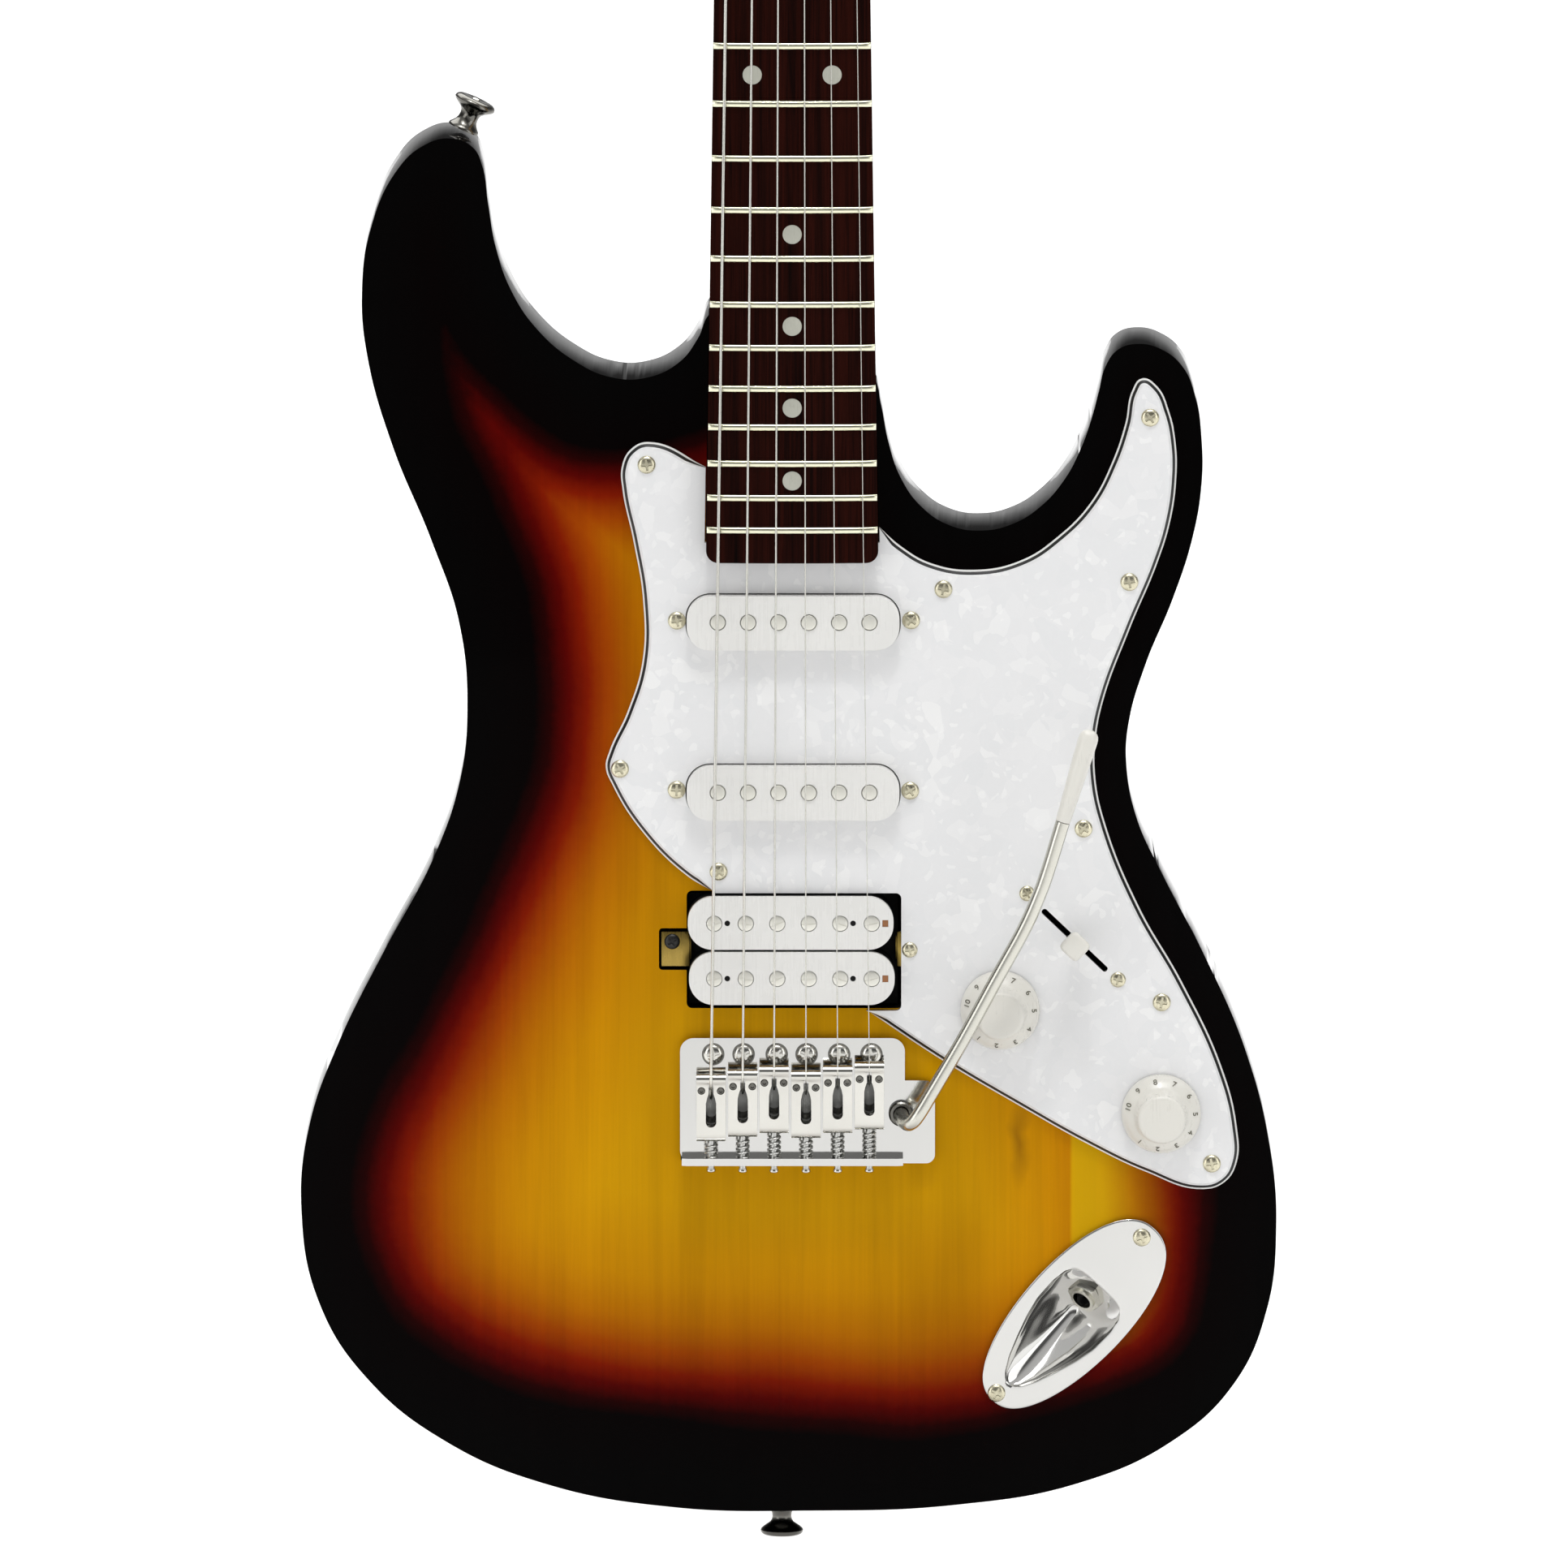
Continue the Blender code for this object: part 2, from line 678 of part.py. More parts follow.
for label, z, cx in zip(("upper", "lower"), COIL_Z, COIL_X):
    coil = sheet(
        f"humbucker_{label}_coil",
        [corner_box(cx, z, COIL_LONG, COIL_HIGH, COIL_HIGH / 2 - 0.6, 4)],
        COIL_TOP,
        6.0,
        CREAM,
    )
    bevel(coil, 0.6, 1, 60)
    for i in range(6):
        x = 0.3 + 10.45 * (i - 2.5)
        pole = rod(
            f"{label}_coil_pole_{i + 1}",
            (x, COIL_TOP - 0.4, z + 0.1),
            (x, COIL_TOP + 3, z + 0.1),
            2.4,
            cutter=True,
            sides=8,
        )
        combine(coil, pole, "UNION")

baseplate = box(
    "humbucker_baseplate", (-34.4, 6.3, -626.7), (35.2, 7.9, -589.5), BRASS
)
for side, wall, tip in ((-1, -34.4, -43.4), (1, 35.2, 44.6)):
    lo, hi = sorted((wall, wall - side * 0.9))
    leg = box(f"leg_{side}", (lo, 1.4, -611.0), (hi, 7.0, -603.4), cutter=True)
    lo, hi = sorted((wall - side * 0.4, tip))
    ear = box(f"ear_{side}", (lo, 0.9, -613.4), (hi, 2.1, -601.8), cutter=True)
    combine(baseplate, leg, "UNION")
    combine(baseplate, ear, "UNION")

# ---- controls ----------------------------------------------------------------------------------------
knob_profile = [
    (0, 15.4), (7.4, 15.4), (8.0, 14.8), (8.9, 6.4), (9.9, 5.6), (12.6, 2.6),
    (13.2, 1.2), (13.2, 0), (11.6, 0), (9.4, 4.6), (3.0, 4.6), (3.0, -8.0), (0, -8.0),
]  # fmt: skip
pot_profile = [
    (3.4, 5.4), (4.0, 5.4), (4.0, 4.6), (6.2, 4.6), (6.2, 2.9), (4.0, 2.9),
    (4.0, -0.4), (11.8, -0.4), (12.2, -0.9), (12.2, -8.6), (11.8, -9.0),
    (3.4, -9.0), (3.4, 5.4),
]  # fmt: skip
for label, (x, z) in (("volume", VOLUME), ("tone", TONE)):
    knob = turned(
        f"{label}_knob", knob_profile, (x, GUARD_FRONT - 0.4, z), (0, -1, 0), CREAM,
        steps=20,
    )  # fmt: skip
    turned(f"{label}_pot", pot_profile, (x, 0, z), (0, -1, 0), NICKEL, steps=14)

switch_frame = Matrix.Translation(Vector((SWITCH[0], 0, SWITCH[1]))) @ Matrix.Rotation(
    math.radians(-slot_turn), 4, "Y"
)
switch = box(
    "selector_switch", (-23.5, 0.1, -5.6), (23.5, 1.5, 5.6), NICKEL, turn=switch_frame
)
combine(
    switch,
    box("switch_gate", (-15, -1, -1.3), (15, 3, 1.3), cutter=True, turn=switch_frame),
)
for side in (-1, 1):
    lo, hi = sorted((side * 4.2, side * 5.4))
    wall = box(
        f"switch_wall_{side}", (-15, 0.6, lo), (15, 22, hi), cutter=True,
        turn=switch_frame,
    )  # fmt: skip
    combine(switch, wall, "UNION")
axle = rod(
    "switch_axle",
    switch_frame @ Vector((0, SWITCH_PIVOT_Y, -4.8)),
    switch_frame @ Vector((0, SWITCH_PIVOT_Y, 4.8)),
    1.5,
    cutter=True,
    sides=12,
)
combine(switch, axle, "UNION")

lever = box(
    "selector_lever", (-2.2, -13, -0.6), (2.2, SWITCH_PIVOT_Y + 3.4, 0.6), CREAM,
    turn=switch_frame,
)  # fmt: skip
tip = loft(
    "lever_tip",
    [
        [
            switch_frame @ Vector((x, y, z))
            for x, z in ((-w, -d), (w, -d), (w, d), (-w, d))
        ]
        for y, w, d in ((-8.0, 3.1, 2.6), (-12.0, 3.6, 3.0), (-17.0, 4.1, 4.0), (-18.4, 3.4, 3.3))
    ],
    cutter=True,
)  # fmt: skip
combine(lever, tip, "UNION")
combine(
    lever,
    rod(
        "lever_eye",
        switch_frame @ Vector((0, SWITCH_PIVOT_Y, -3)),
        switch_frame @ Vector((0, SWITCH_PIVOT_Y, 3)),
        1.8,
        cutter=True,
        sides=14,
    ),
)
hang_on(lever, (SWITCH[0], SWITCH_PIVOT_Y, SWITCH[1]))

# ---- output jack -------------------------------------------------------------------------------------------
def jack_outline(grow=0.0):
    """Long oval plate, a little fuller at its upper end."""
    out = []
    for i in range(28):
        a = 2 * math.pi * i / 28
        z = JACK_LONG / 2 * math.cos(a)
        wide = JACK_WIDE / 2 * math.copysign(abs(math.sin(a)) ** 0.86, math.sin(a))
        wide *= 1 + 0.05 * math.cos(a)
        t = math.radians(JACK_TURN)
        out.append(
            (
                JACK[0] + (wide + grow) * math.cos(t) + z * math.sin(t),
                JACK[1] - (wide + grow) * math.sin(t) + z * math.cos(t),
                "corner",
            )
        )
    return out


PLUG_TILT = math.radians(28)  # of the plug's axis out of the front face
DISH_WALL = (0.0, 11.0, 15.0)  # centre of the jack's wall, in the plate's own frame
plug_out = Vector((0, -math.sin(PLUG_TILT), -math.cos(PLUG_TILT)))
jack_wall = Vector(DISH_WALL)


def on_plug(distance):
    return jack_turn @ (jack_wall + plug_out * distance)


jack_plate = sheet("jack_plate", [jack_outline()], -1.9, -0.4, CHROME)
dish = rod("dish_outer", on_plug(-1.4), on_plug(46), 10.4, cutter=True, sides=24)
dish_top = box("dish_trim", (-30, -40, -60), (30, -1.2, 60), cutter=True, turn=jack_turn)
combine(dish, dish_top)
combine(jack_plate, dish, "UNION")
combine(
    jack_plate,
    rod("dish_inner", on_plug(0), on_plug(60), 9.2, cutter=True, sides=24),
)
combine(
    jack_plate, rod("jack_hole", on_plug(-6), on_plug(4), 4.9, cutter=True, sides=16)
)
jack = rod("output_jack", on_plug(-12), on_plug(3.2), 4.5, NICKEL, sides=16)
combine(
    jack,
    rod("jack_frame", on_plug(-11), on_plug(-1.7), 8.0, cutter=True, sides=16),
    "UNION",
)
combine(
    jack, rod("jack_nut", on_plug(0.3), on_plug(2.4), 6.6, cutter=True, sides=6), "UNION"
)
combine(jack, rod("jack_bore", on_plug(-9.5), on_plug(6), 3.25, cutter=True, sides=16))

# ---- vibrato bridge -------------------------------------------------------------------------------------------
plate_outline = corner_box(0.1, (PLATE_FRONT + PLATE_REAR) / 2, 74.6, 42.1, 4.5, 4)
bridge_plate = sheet("bridge_plate", [plate_outline], PLATE_TOP, PLATE_UNDER, CHROME)
wing = sheet(
    "plate_wing", [corner_box(36.4, -665.0, 22.0, 27.8, 3.0, 3)], PLATE_TOP + 0.001,
    PLATE_UNDER - 0.001, cutter=True,
)  # fmt: skip
combine(bridge_plate, wing, "UNION")
lip = box("plate_lip", (-36.6, -10.6, -681.0), (36.8, -1.6, -678.6), cutter=True)
combine(bridge_plate, lip, "UNION")
chamfer = box(
    "plate_chamfer",
    (-50, 0, 0),
    (50, 5, 12),
    cutter=True,
    turn=Matrix.Translation(Vector((0, PLATE_UNDER + 0.05, PIVOT_Z)))
    @ Matrix.Rotation(math.radians(14), 4, "X"),
)
combine(bridge_plate, chamfer)

block = box("tremolo_block", (-33.5, PLATE_UNDER + GAP, -672.6), (33.5, BLOCK_BOTTOM, -650), STEEL)  # fmt: skip
boss = box("arm_boss", (32.5, PLATE_UNDER + GAP + 0.2, -672.3), (41.5, 27.5, -654.2), cutter=True)
combine(block, boss, "UNION")
for i, x in enumerate(STRING_BRIDGE_X):
    z = SADDLE_FRONT[i] - 9.4
    combine(
        bridge_plate,
        rod(f"plate_hole_{i + 1}", (x, -8, z), (x, 4, z), 2.0, cutter=True, sides=10),
    )
    combine(
        block,
        rod(f"block_hole_{i + 1}", (x, -8, z), (x, 44, z), 2.0, cutter=True, sides=10),
    )
combine(
    bridge_plate,
    rod("arm_hole", (ARM_X, -8, ARM_Z), (ARM_X, 4, ARM_Z), ARM_R + 0.4, cutter=True),
)
combine(
    block,
    rod("arm_bore", (ARM_X, -8, ARM_Z), (ARM_X, 24, ARM_Z), ARM_R + 0.4, cutter=True),
)
pivot = pivot_empty("tremolo_pivot", (0, PIVOT_Y, PIVOT_Z))
for piece in (bridge_plate, block):
    ride_on(piece, pivot)

for i, x in enumerate(STRING_BRIDGE_X):
    front = SADDLE_FRONT[i]
    top = STRING_BRIDGE_Y + crown(x) + STRING_R[i] + GAP
    floor = PLATE_TOP - GAP
    side = [
        (0.0, top + 2.6), (0.5, top + 0.9), (1.4, top + 0.15), (2.2, top),
        (3.0, top + 0.25), (4.0, top + 0.7), (20.6, top + 2.8),
        (SADDLE_LONG - 0.6, top + 3.4), (SADDLE_LONG, top + 4.4), (SADDLE_LONG, floor),
        (SADDLE_LONG - 1.5, floor), (SADDLE_LONG - 1.5, top + 5.2), (20.0, top + 4.4),
        (4.0, top + 2.3), (2.4, top + 1.9), (1.4, top + 2.8), (1.2, top + 3.4),
    ]  # fmt: skip
    rings = [
        [(x + s * SADDLE_WIDE / 2, y, front - run) for run, y in side] for s in (-1, 1)
    ]
    saddle = loft(f"saddle_{i + 1}", rings, NICKEL)
    for s in (-1, 1):
        screw = rod(
            f"saddle_{i + 1}_leg_{s}",
            (x + s * 3.3, floor, front - 5.2),
            (x + s * 3.3, top + 1.0, front - 5.2),
            1.1,
            cutter=True,
            sides=8,
        )
        combine(saddle, screw, "UNION")
    combine(
        saddle,
        box(
            f"saddle_{i + 1}_slot",
            (x - 1.7, top - 3, front - 17.5),
            (x + 1.7, top + 8, front - 3.2),
            cutter=True,
        ),
    )
    hang_on(saddle, (x, floor, front))
    ride_on(saddle, pivot)

arm_line = through(
    [
        (ARM_X, 18.0, ARM_Z), (ARM_X, 2.0, ARM_Z), (ARM_X, -9.0, ARM_Z),
        (ARM_X + 0.6, -15.5, ARM_Z - 0.5), (ARM_X + 1.6, -20.6, ARM_Z - 0.9),
        (ARM_X + 3.1, -23.9, ARM_Z - 0.4), (41.6, -25.3, -659.7), (46.3, -25.6, -651.9),
        (56.8, -26.3, -633.7), (66.6, -26.9, -615.5), (71.6, -27.2, -606.4),
        (74.9, -27.4, -600.4), (77.9, -27.6, -594.4), (80.6, -27.8, -588.2),
        (84.0, -28.2, -579.1), (89.5, -29.0, -560.9),
    ],
    2,
)  # fmt: skip
arm_end = arm_line[-1]
arm_run = (arm_end - arm_line[-2]).normalized()
arm_line += [arm_end + arm_run * 0.02, arm_end + arm_run * 12]
arm = tube(
    "tremolo_arm", arm_line, ARM_R, CHROME,
    radii=[1.0] * (len(arm_line) - 2) + [0.6, 0.6],
)  # fmt: skip
tip_profile = [
    (0, 32.4), (1.6, 32.1), (2.9, 31.0), (3.3, 29.0), (3.2, 24.0), (2.6, 6.0),
    (2.45, 0.3), (1.75, 0.3), (1.75, 13.0), (0, 13.0),
]  # fmt: skip
arm_tip = turned("arm_tip", tip_profile, arm_end, arm_run, CREAM, steps=14)
arm_pivot = pivot_empty("arm_pivot", (ARM_X, 0, ARM_Z))
for piece in (arm, arm_tip):
    ride_on(piece, arm_pivot)

claw = box("spring_claw", (-27, 30.2, -573.4), (27, 31.8, -566.0), STEEL)
combine(claw, box("claw_wall", (-27, 23.0, -567.4), (27, 31.0, -565.8), cutter=True), "UNION")  # fmt: skip
for i, x in enumerate((-16.0, 0.0, 16.0)):
    combine(
        claw,
        box(f"claw_hook_{i + 1}", (x - 1.5, 31, -573.2), (x + 1.5, 34.2, -571.6), cutter=True),
        "UNION",
    )  # fmt: skip
    turned(
        f"tremolo_spring_{i + 1}",
        [(0, 73.4), (0.7, 73.4), (0.7, 66.0), (3.8, 63.0), (3.8, 12.0), (0.7, 9.0),
         (0.7, 0.0), (0, 0.0)],
        (x, 33.0, -649.5 + 0.2),
        (0, 0, 1),
        STEEL,
        steps=12,
    )  # fmt: skip

# ---- strap buttons ------------------------------------------------------------------------------------------------
button_profile = [
    (0, 11.0), (5.4, 11.0), (6.9, 10.2), (7.1, 9.2), (6.2, 8.2), (3.6, 6.4), (3.2, 4.0),
    (4.4, 1.6), (5.3, 0.6), (5.3, 0), (0, 0),
]  # fmt: skip
turned("strap_button_upper", button_profile, (-109.0, 22.0, -336.1), (0.42, 0, 0.91), DARK, steps=12)
turned("strap_button_end", button_profile, (-3.4, 22.0, -796.7), (0, 0, -1), DARK, steps=12)

# ---- tuners ----------------------------------------------------------------------------------------------------------
WORM_SHIFT, WORM_Y = 6.3, 20.0
post_profile = [
    (0, 18.0), (2.5, 18.0), (3.0, 17.4), (3.0, 13.6), (POST_WAIST, 12.6),
    (POST_WAIST, 7.0), (3.0, 6.0), (3.0, -17.0), (4.0, -17.0), (4.0, -22.8), (0, -22.8),
]  # fmt: skip
for i, (x, z) in enumerate(POSTS):
    n = i + 1
    here = Matrix.Translation(Vector((x, 0, z))) @ Matrix(
        (
            (OUT.x, 0, EDGE.x, 0),
            (0, 1, 0, 0),
            (OUT.z, 0, EDGE.z, 0),
            (0, 0, 0, 1),
        )
    )
    housing = box(
        f"tuner_housing_{n}", (-7.6, HEAD_BACK + GAP, -7.0), (8.4, 26.0, 10.2), NICKEL,
        turn=here,
    )  # fmt: skip
    bevel(housing, 1.6, 1, 60)
    for label, y0, y1, r, sides in (
        ("sleeve", -3.6, 17.0, 4.7, 12),
        ("washer", -1.5, -GAP, 7.0, 14),
        ("bushing", -3.8, -1.2, 5.6, 6),
    ):
        piece = rod(f"tuner_{n}_{label}", (x, y0, z), (x, y1, z), r, cutter=True, sides=sides)  # fmt: skip
        combine(housing, piece, "UNION")
    combine(housing, rod(f"tuner_{n}_bore", (x, -8, z), (x, 18, z), 3.3, cutter=True, sides=12))  # fmt: skip
    combine(housing, rod(f"tuner_{n}_chamber", (x, 16.6, z), (x, 23.2, z), 4.35, cutter=True, sides=12))  # fmt: skip
    a = here @ Vector((-5.4, WORM_Y, WORM_SHIFT))
    b = here @ Vector((14.0, WORM_Y, WORM_SHIFT))
    combine(housing, rod(f"tuner_{n}_worm_bore", a, b, 2.15, cutter=True, sides=10))
    turned(f"tuner_post_{n}", post_profile, (x, 0, z), (0, -1, 0), NICKEL, steps=12)

    button = box(
        f"tuner_button_{n}", (19.6, WORM_Y - 4.0, WORM_SHIFT - 8.4),
        (31.0, WORM_Y + 4.0, WORM_SHIFT + 8.4), CHROME, turn=here,
    )  # fmt: skip
    bevel(button, 2.6, 1, 60)
    a = here @ Vector((-5.0, WORM_Y, WORM_SHIFT))
    b = here @ Vector((21.0, WORM_Y, WORM_SHIFT))
    combine(button, rod(f"tuner_{n}_worm", a, b, 1.85, cutter=True, sides=10), "UNION")
    hang_on(button, here @ Vector((0, WORM_Y, WORM_SHIFT)))

# ---- strings ---------------------------------------------------------------------------------------------------------
for i in range(6):
    r = STRING_R[i]
    bridge_x, nut_x = STRING_BRIDGE_X[i], STRING_NUT_X[i]
    front = SADDLE_FRONT[i]
    crest = STRING_BRIDGE_Y + crown(bridge_x)
    over_nut = STRING_NUT_Y + crown(nut_x)
    hole = front - 9.4
    px, pz = POSTS[i]
    wrap = POST_WAIST + GAP + r
    low = -8.0
    line = [
        (bridge_x, 30.0, hole),
        (bridge_x, -2.0, hole),
        (bridge_x, -4.2, hole + 0.5),
        (bridge_x, crest + 2.1, front - 4.9),
        (bridge_x, crest + 0.45, front - 3.2),
        (bridge_x, crest, front - 2.0),
    ]
    for k in range(1, 4):
        t = k / 4
        line.append(
            (
                bridge_x + (nut_x - bridge_x) * t,
                crest + (over_nut - crest) * t,
                (front - 2.0) * (1 - t),
            )
        )
    line += [(nut_x, over_nut, 0.0), (string_x(i, 3.3), over_nut + 0.1, 3.3)]
    turns, per_turn = 1.75, 8
    for k in range(int(turns * per_turn) + 1):
        a = 2 * math.pi * k / per_turn
        y = low - (2 * r + 0.15) * k / per_turn
        line.append((px + wrap * math.cos(a), y, pz + wrap * math.sin(a)))
    tube(f"string_{i + 1}", line, r, STEEL, detail=1)
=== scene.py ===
import json
import math

import bmesh
import bpy
import numpy as np
from mathutils import Matrix, Vector

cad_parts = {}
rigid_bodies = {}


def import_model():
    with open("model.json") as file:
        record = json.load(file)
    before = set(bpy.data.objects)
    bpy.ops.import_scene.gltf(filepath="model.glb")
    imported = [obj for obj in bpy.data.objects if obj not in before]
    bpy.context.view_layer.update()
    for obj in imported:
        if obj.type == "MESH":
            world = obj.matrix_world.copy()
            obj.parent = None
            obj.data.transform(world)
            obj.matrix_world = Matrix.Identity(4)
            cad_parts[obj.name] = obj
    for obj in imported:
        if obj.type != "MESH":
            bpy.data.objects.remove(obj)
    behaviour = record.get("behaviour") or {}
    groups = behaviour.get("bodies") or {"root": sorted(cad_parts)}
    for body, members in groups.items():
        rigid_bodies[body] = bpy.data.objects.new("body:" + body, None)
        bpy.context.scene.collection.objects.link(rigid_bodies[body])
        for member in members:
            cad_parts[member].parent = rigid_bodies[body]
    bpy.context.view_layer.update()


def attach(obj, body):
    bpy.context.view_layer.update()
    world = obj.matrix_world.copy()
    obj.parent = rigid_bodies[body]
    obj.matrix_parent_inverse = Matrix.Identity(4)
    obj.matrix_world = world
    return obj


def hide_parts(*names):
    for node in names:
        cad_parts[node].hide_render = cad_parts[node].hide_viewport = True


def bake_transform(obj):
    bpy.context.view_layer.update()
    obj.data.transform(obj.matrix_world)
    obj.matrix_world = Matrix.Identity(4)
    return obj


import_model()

MM = 0.001
GAP = 0.3
SCALE = 648.0
FRETS = 22
BODY_DEPTH = 44.0
BODY_ROUND = 4.0
BOARD_TOP = -9.4
BOARD_UNDER = -3.4
BOARD_END = -477.2
BOARD_RADIUS = 305.0
NUT_HALF = 21.75
BOARD_TAPER = 0.01415
FRET_HIGH, FRET_WIDE = 1.1, 2.4
POCKET_FLOOR = 16.0
HEEL_END = -470.4
HEAD_BACK = 14.0
GUARD_FRONT, GUARD_BACK = -2.6, -0.3
STRING_NUT_X = (-18.0, -10.8, -3.6, 3.6, 10.8, 18.0)
STRING_BRIDGE_X = (-26.9, -16.4, -6.0, 4.6, 15.1, 25.6)
STRING_R = (0.53, 0.42, 0.33, 0.23, 0.19, 0.15)
STRING_NUT_Y, STRING_BRIDGE_Y = -11.0, -14.3
PICKUP_Z = (-497.5, -554.4)
PICKUP_LONG, PICKUP_HIGH, PICKUP_TOP = 70.5, 18.1, -7.4
POLE_PITCH = 10.05
COIL_Z = (-597.9, -616.4)
COIL_X = (-0.5, -0.1)
COIL_LONG, COIL_HIGH, COIL_TOP = 68.2, 17.7, -7.0
PIVOT_Z, PIVOT_Y = -642.4, -1.4
PLATE_TOP, PLATE_UNDER = -3.2, -0.8
PLATE_FRONT, PLATE_REAR = -636.9, -679.0
BLOCK_BOTTOM = 36.0
SADDLE_FRONT = (-647.6, -646.0, -644.7, -646.3, -644.7, -643.6)
SADDLE_LONG, SADDLE_WIDE = 23.2, 9.7
ARM_X, ARM_Z, ARM_R = 36.2, -662.0, 2.4
VOLUME = (69.0, -627.5)
TONE = (122.5, -662.2)
SWITCH = (93.7, -604.2)
SWITCH_DIR = (0.723, -0.691)
SWITCH_PIVOT_Y = 16.0
JACK = (93.5, -730.0)
JACK_TURN = 43.0
JACK_LONG, JACK_WIDE = 79.0, 35.0
POST_FIRST, POST_STEP = 34.0, 26.0
POST_WAIST = 2.5


def half_width(z):
    return NUT_HALF - BOARD_TAPER * z


def crown(x):
    return x * x / (2 * BOARD_RADIUS)


def fret_z(number):
    return -SCALE * (1 - 2 ** (-number / 12))


def string_x(index, z):
    nut, bridge = STRING_NUT_X[index], STRING_BRIDGE_X[index]
    return nut + (nut - bridge) / SCALE * z


looks = bpy.data.collections.new("looks")
cutters = bpy.data.collections.new("cutters")
for collection in (looks, cutters):
    bpy.context.scene.collection.children.link(collection)


# ---- materials ------------------------------------------------------------------------
class Paint:
    """A material's node tree, with short ways to add and join nodes."""

    def __init__(self, name, rough, metallic=0.0, coat=0.0, specular=0.5, coat_rough=0.05, coat_ior=1.5):
        self.material = bpy.data.materials.new(name)
        self.material.use_nodes = True
        self.tree = self.material.node_tree
        self.bsdf = self.tree.nodes["Principled BSDF"]
        for socket, value in (
            ("Roughness", rough),
            ("Metallic", metallic),
            ("Coat Weight", coat),
            ("Coat Roughness", coat_rough),
            ("Specular IOR Level", specular),
            ("Coat IOR", coat_ior),
        ):
            self.bsdf.inputs[socket].default_value = value
        self.place = self.add("ShaderNodeTexCoord").outputs["Object"]

    def add(self, kind, inputs=None, **settings):
        node = self.tree.nodes.new(kind)
        for key, value in settings.items():
            setattr(node, key, value)
        for key, value in (inputs or {}).items():
            if isinstance(value, bpy.types.NodeSocket):
                self.tree.links.new(value, node.inputs[key])
            else:
                node.inputs[key].default_value = value
        return node

    def stretched(self, scale, turn=(0, 0, 0), move=(0, 0, 0)):
        return self.add(
            "ShaderNodeMapping",
            {"Vector": self.place, "Scale": scale, "Rotation": turn, "Location": move},
        ).outputs["Vector"]

    def noise(self, scale, detail=4.0, rough=0.5, place=None, distort=0.0):
        return self.add(
            "ShaderNodeTexNoise",
            {
                "Vector": place or self.place,
                "Scale": scale,
                "Detail": detail,
                "Roughness": rough,
                "Distortion": distort,
            },
        ).outputs["Fac"]

    def cells(self, scale, place=None, output="Color", feature="F1", spread=1.0):
        return self.add(
            "ShaderNodeTexVoronoi",
            {"Vector": place or self.place, "Scale": scale, "Randomness": spread},
            feature=feature,
        ).outputs[output]

    def ramp(self, fac, stops, interpolation="LINEAR"):
        node = self.add("ShaderNodeValToRGB", {"Fac": fac})
        band = node.color_ramp
        band.interpolation = interpolation
        while len(band.elements) < len(stops):
            band.elements.new(0.5)
        for element, (at, colour) in zip(band.elements, stops):
            element.position = at
            if isinstance(colour, (int, float)):
                colour = (colour, colour, colour)
            element.color = (*colour, 1.0)
        return node.outputs["Color"]

    def mix(self, fac, a, b, blend="MIX"):
        node = self.tree.nodes.new("ShaderNodeMix")
        node.data_type, node.blend_type = "RGBA", blend
        for index, value in ((0, fac), (6, a), (7, b)):
            if isinstance(value, bpy.types.NodeSocket):
                self.tree.links.new(value, node.inputs[index])
            elif index:
                node.inputs[index].default_value = (*value, 1.0)
            else:
                node.inputs[index].default_value = value
        return node.outputs[2]

    def sum(self, operation, a, b=0.0, c=0.0, clamp=False):
        node = self.tree.nodes.new("ShaderNodeMath")
        node.operation, node.use_clamp = operation, clamp
        for index, value in enumerate((a, b, c)):
            if isinstance(value, bpy.types.NodeSocket):
                self.tree.links.new(value, node.inputs[index])
            else:
                node.inputs[index].default_value = value
        return node.outputs[0]

    def span(self, value, lo, hi, start=0.0, end=1.0):
        return self.add(
            "ShaderNodeMapRange",
            {"Value": value, "From Min": start, "From Max": end, "To Min": lo, "To Max": hi},
        ).outputs["Result"]

    def put(self, colour, rough=None, height=None, strength=0.2, deep=0.0002):
        self.tree.links.new(colour, self.bsdf.inputs["Base Color"])
        if rough is not None:
            self.tree.links.new(rough, self.bsdf.inputs["Roughness"])
        if height is not None:
            bump = self.add(
                "ShaderNodeBump", {"Height": height, "Strength": strength, "Distance": deep}
            )
            self.tree.links.new(bump.outputs["Normal"], self.bsdf.inputs["Normal"])
        return self.material


def finish(name, colour, rough, metallic=0.0, coat=0.0, spread=0.08, grain=260.0,
           wear=0.12, bump=0.12, specular=0.5, lines=None):  # fmt: skip
    """A plain finish with cloudy tone, fine grain, rubbed patches and hairline marks."""
    p = Paint(name, rough, metallic, coat, specular)
    cloud = p.noise(grain / 9, 3)
    fine = p.noise(grain * 4, 2)
    dark = tuple(c * (1 - spread) for c in colour)
    light = tuple(min(1.0, c * (1 + spread * 0.6)) for c in colour)
    tone = p.ramp(cloud, [(0.3, dark), (0.72, light)])
    tone = p.mix(p.span(fine, 0.0, 0.22, 0.35, 0.8), tone, dark)
    hair = p.noise(1.0, 2, 0.6, p.stretched(lines or (grain * 5, grain * 5, grain / 4)))
    rubbed = p.span(p.noise(grain / 3, 5, 0.65), -wear, wear)
    roughness = p.sum("ADD", p.sum("ADD", rubbed, rough), p.span(hair, -wear, wear))
    roughness = p.sum("MAXIMUM", roughness, 0.02)
    height = p.sum("ADD", p.sum("MULTIPLY", fine, 0.5), hair)
    return p.put(tone, roughness, height, bump, 0.00006)


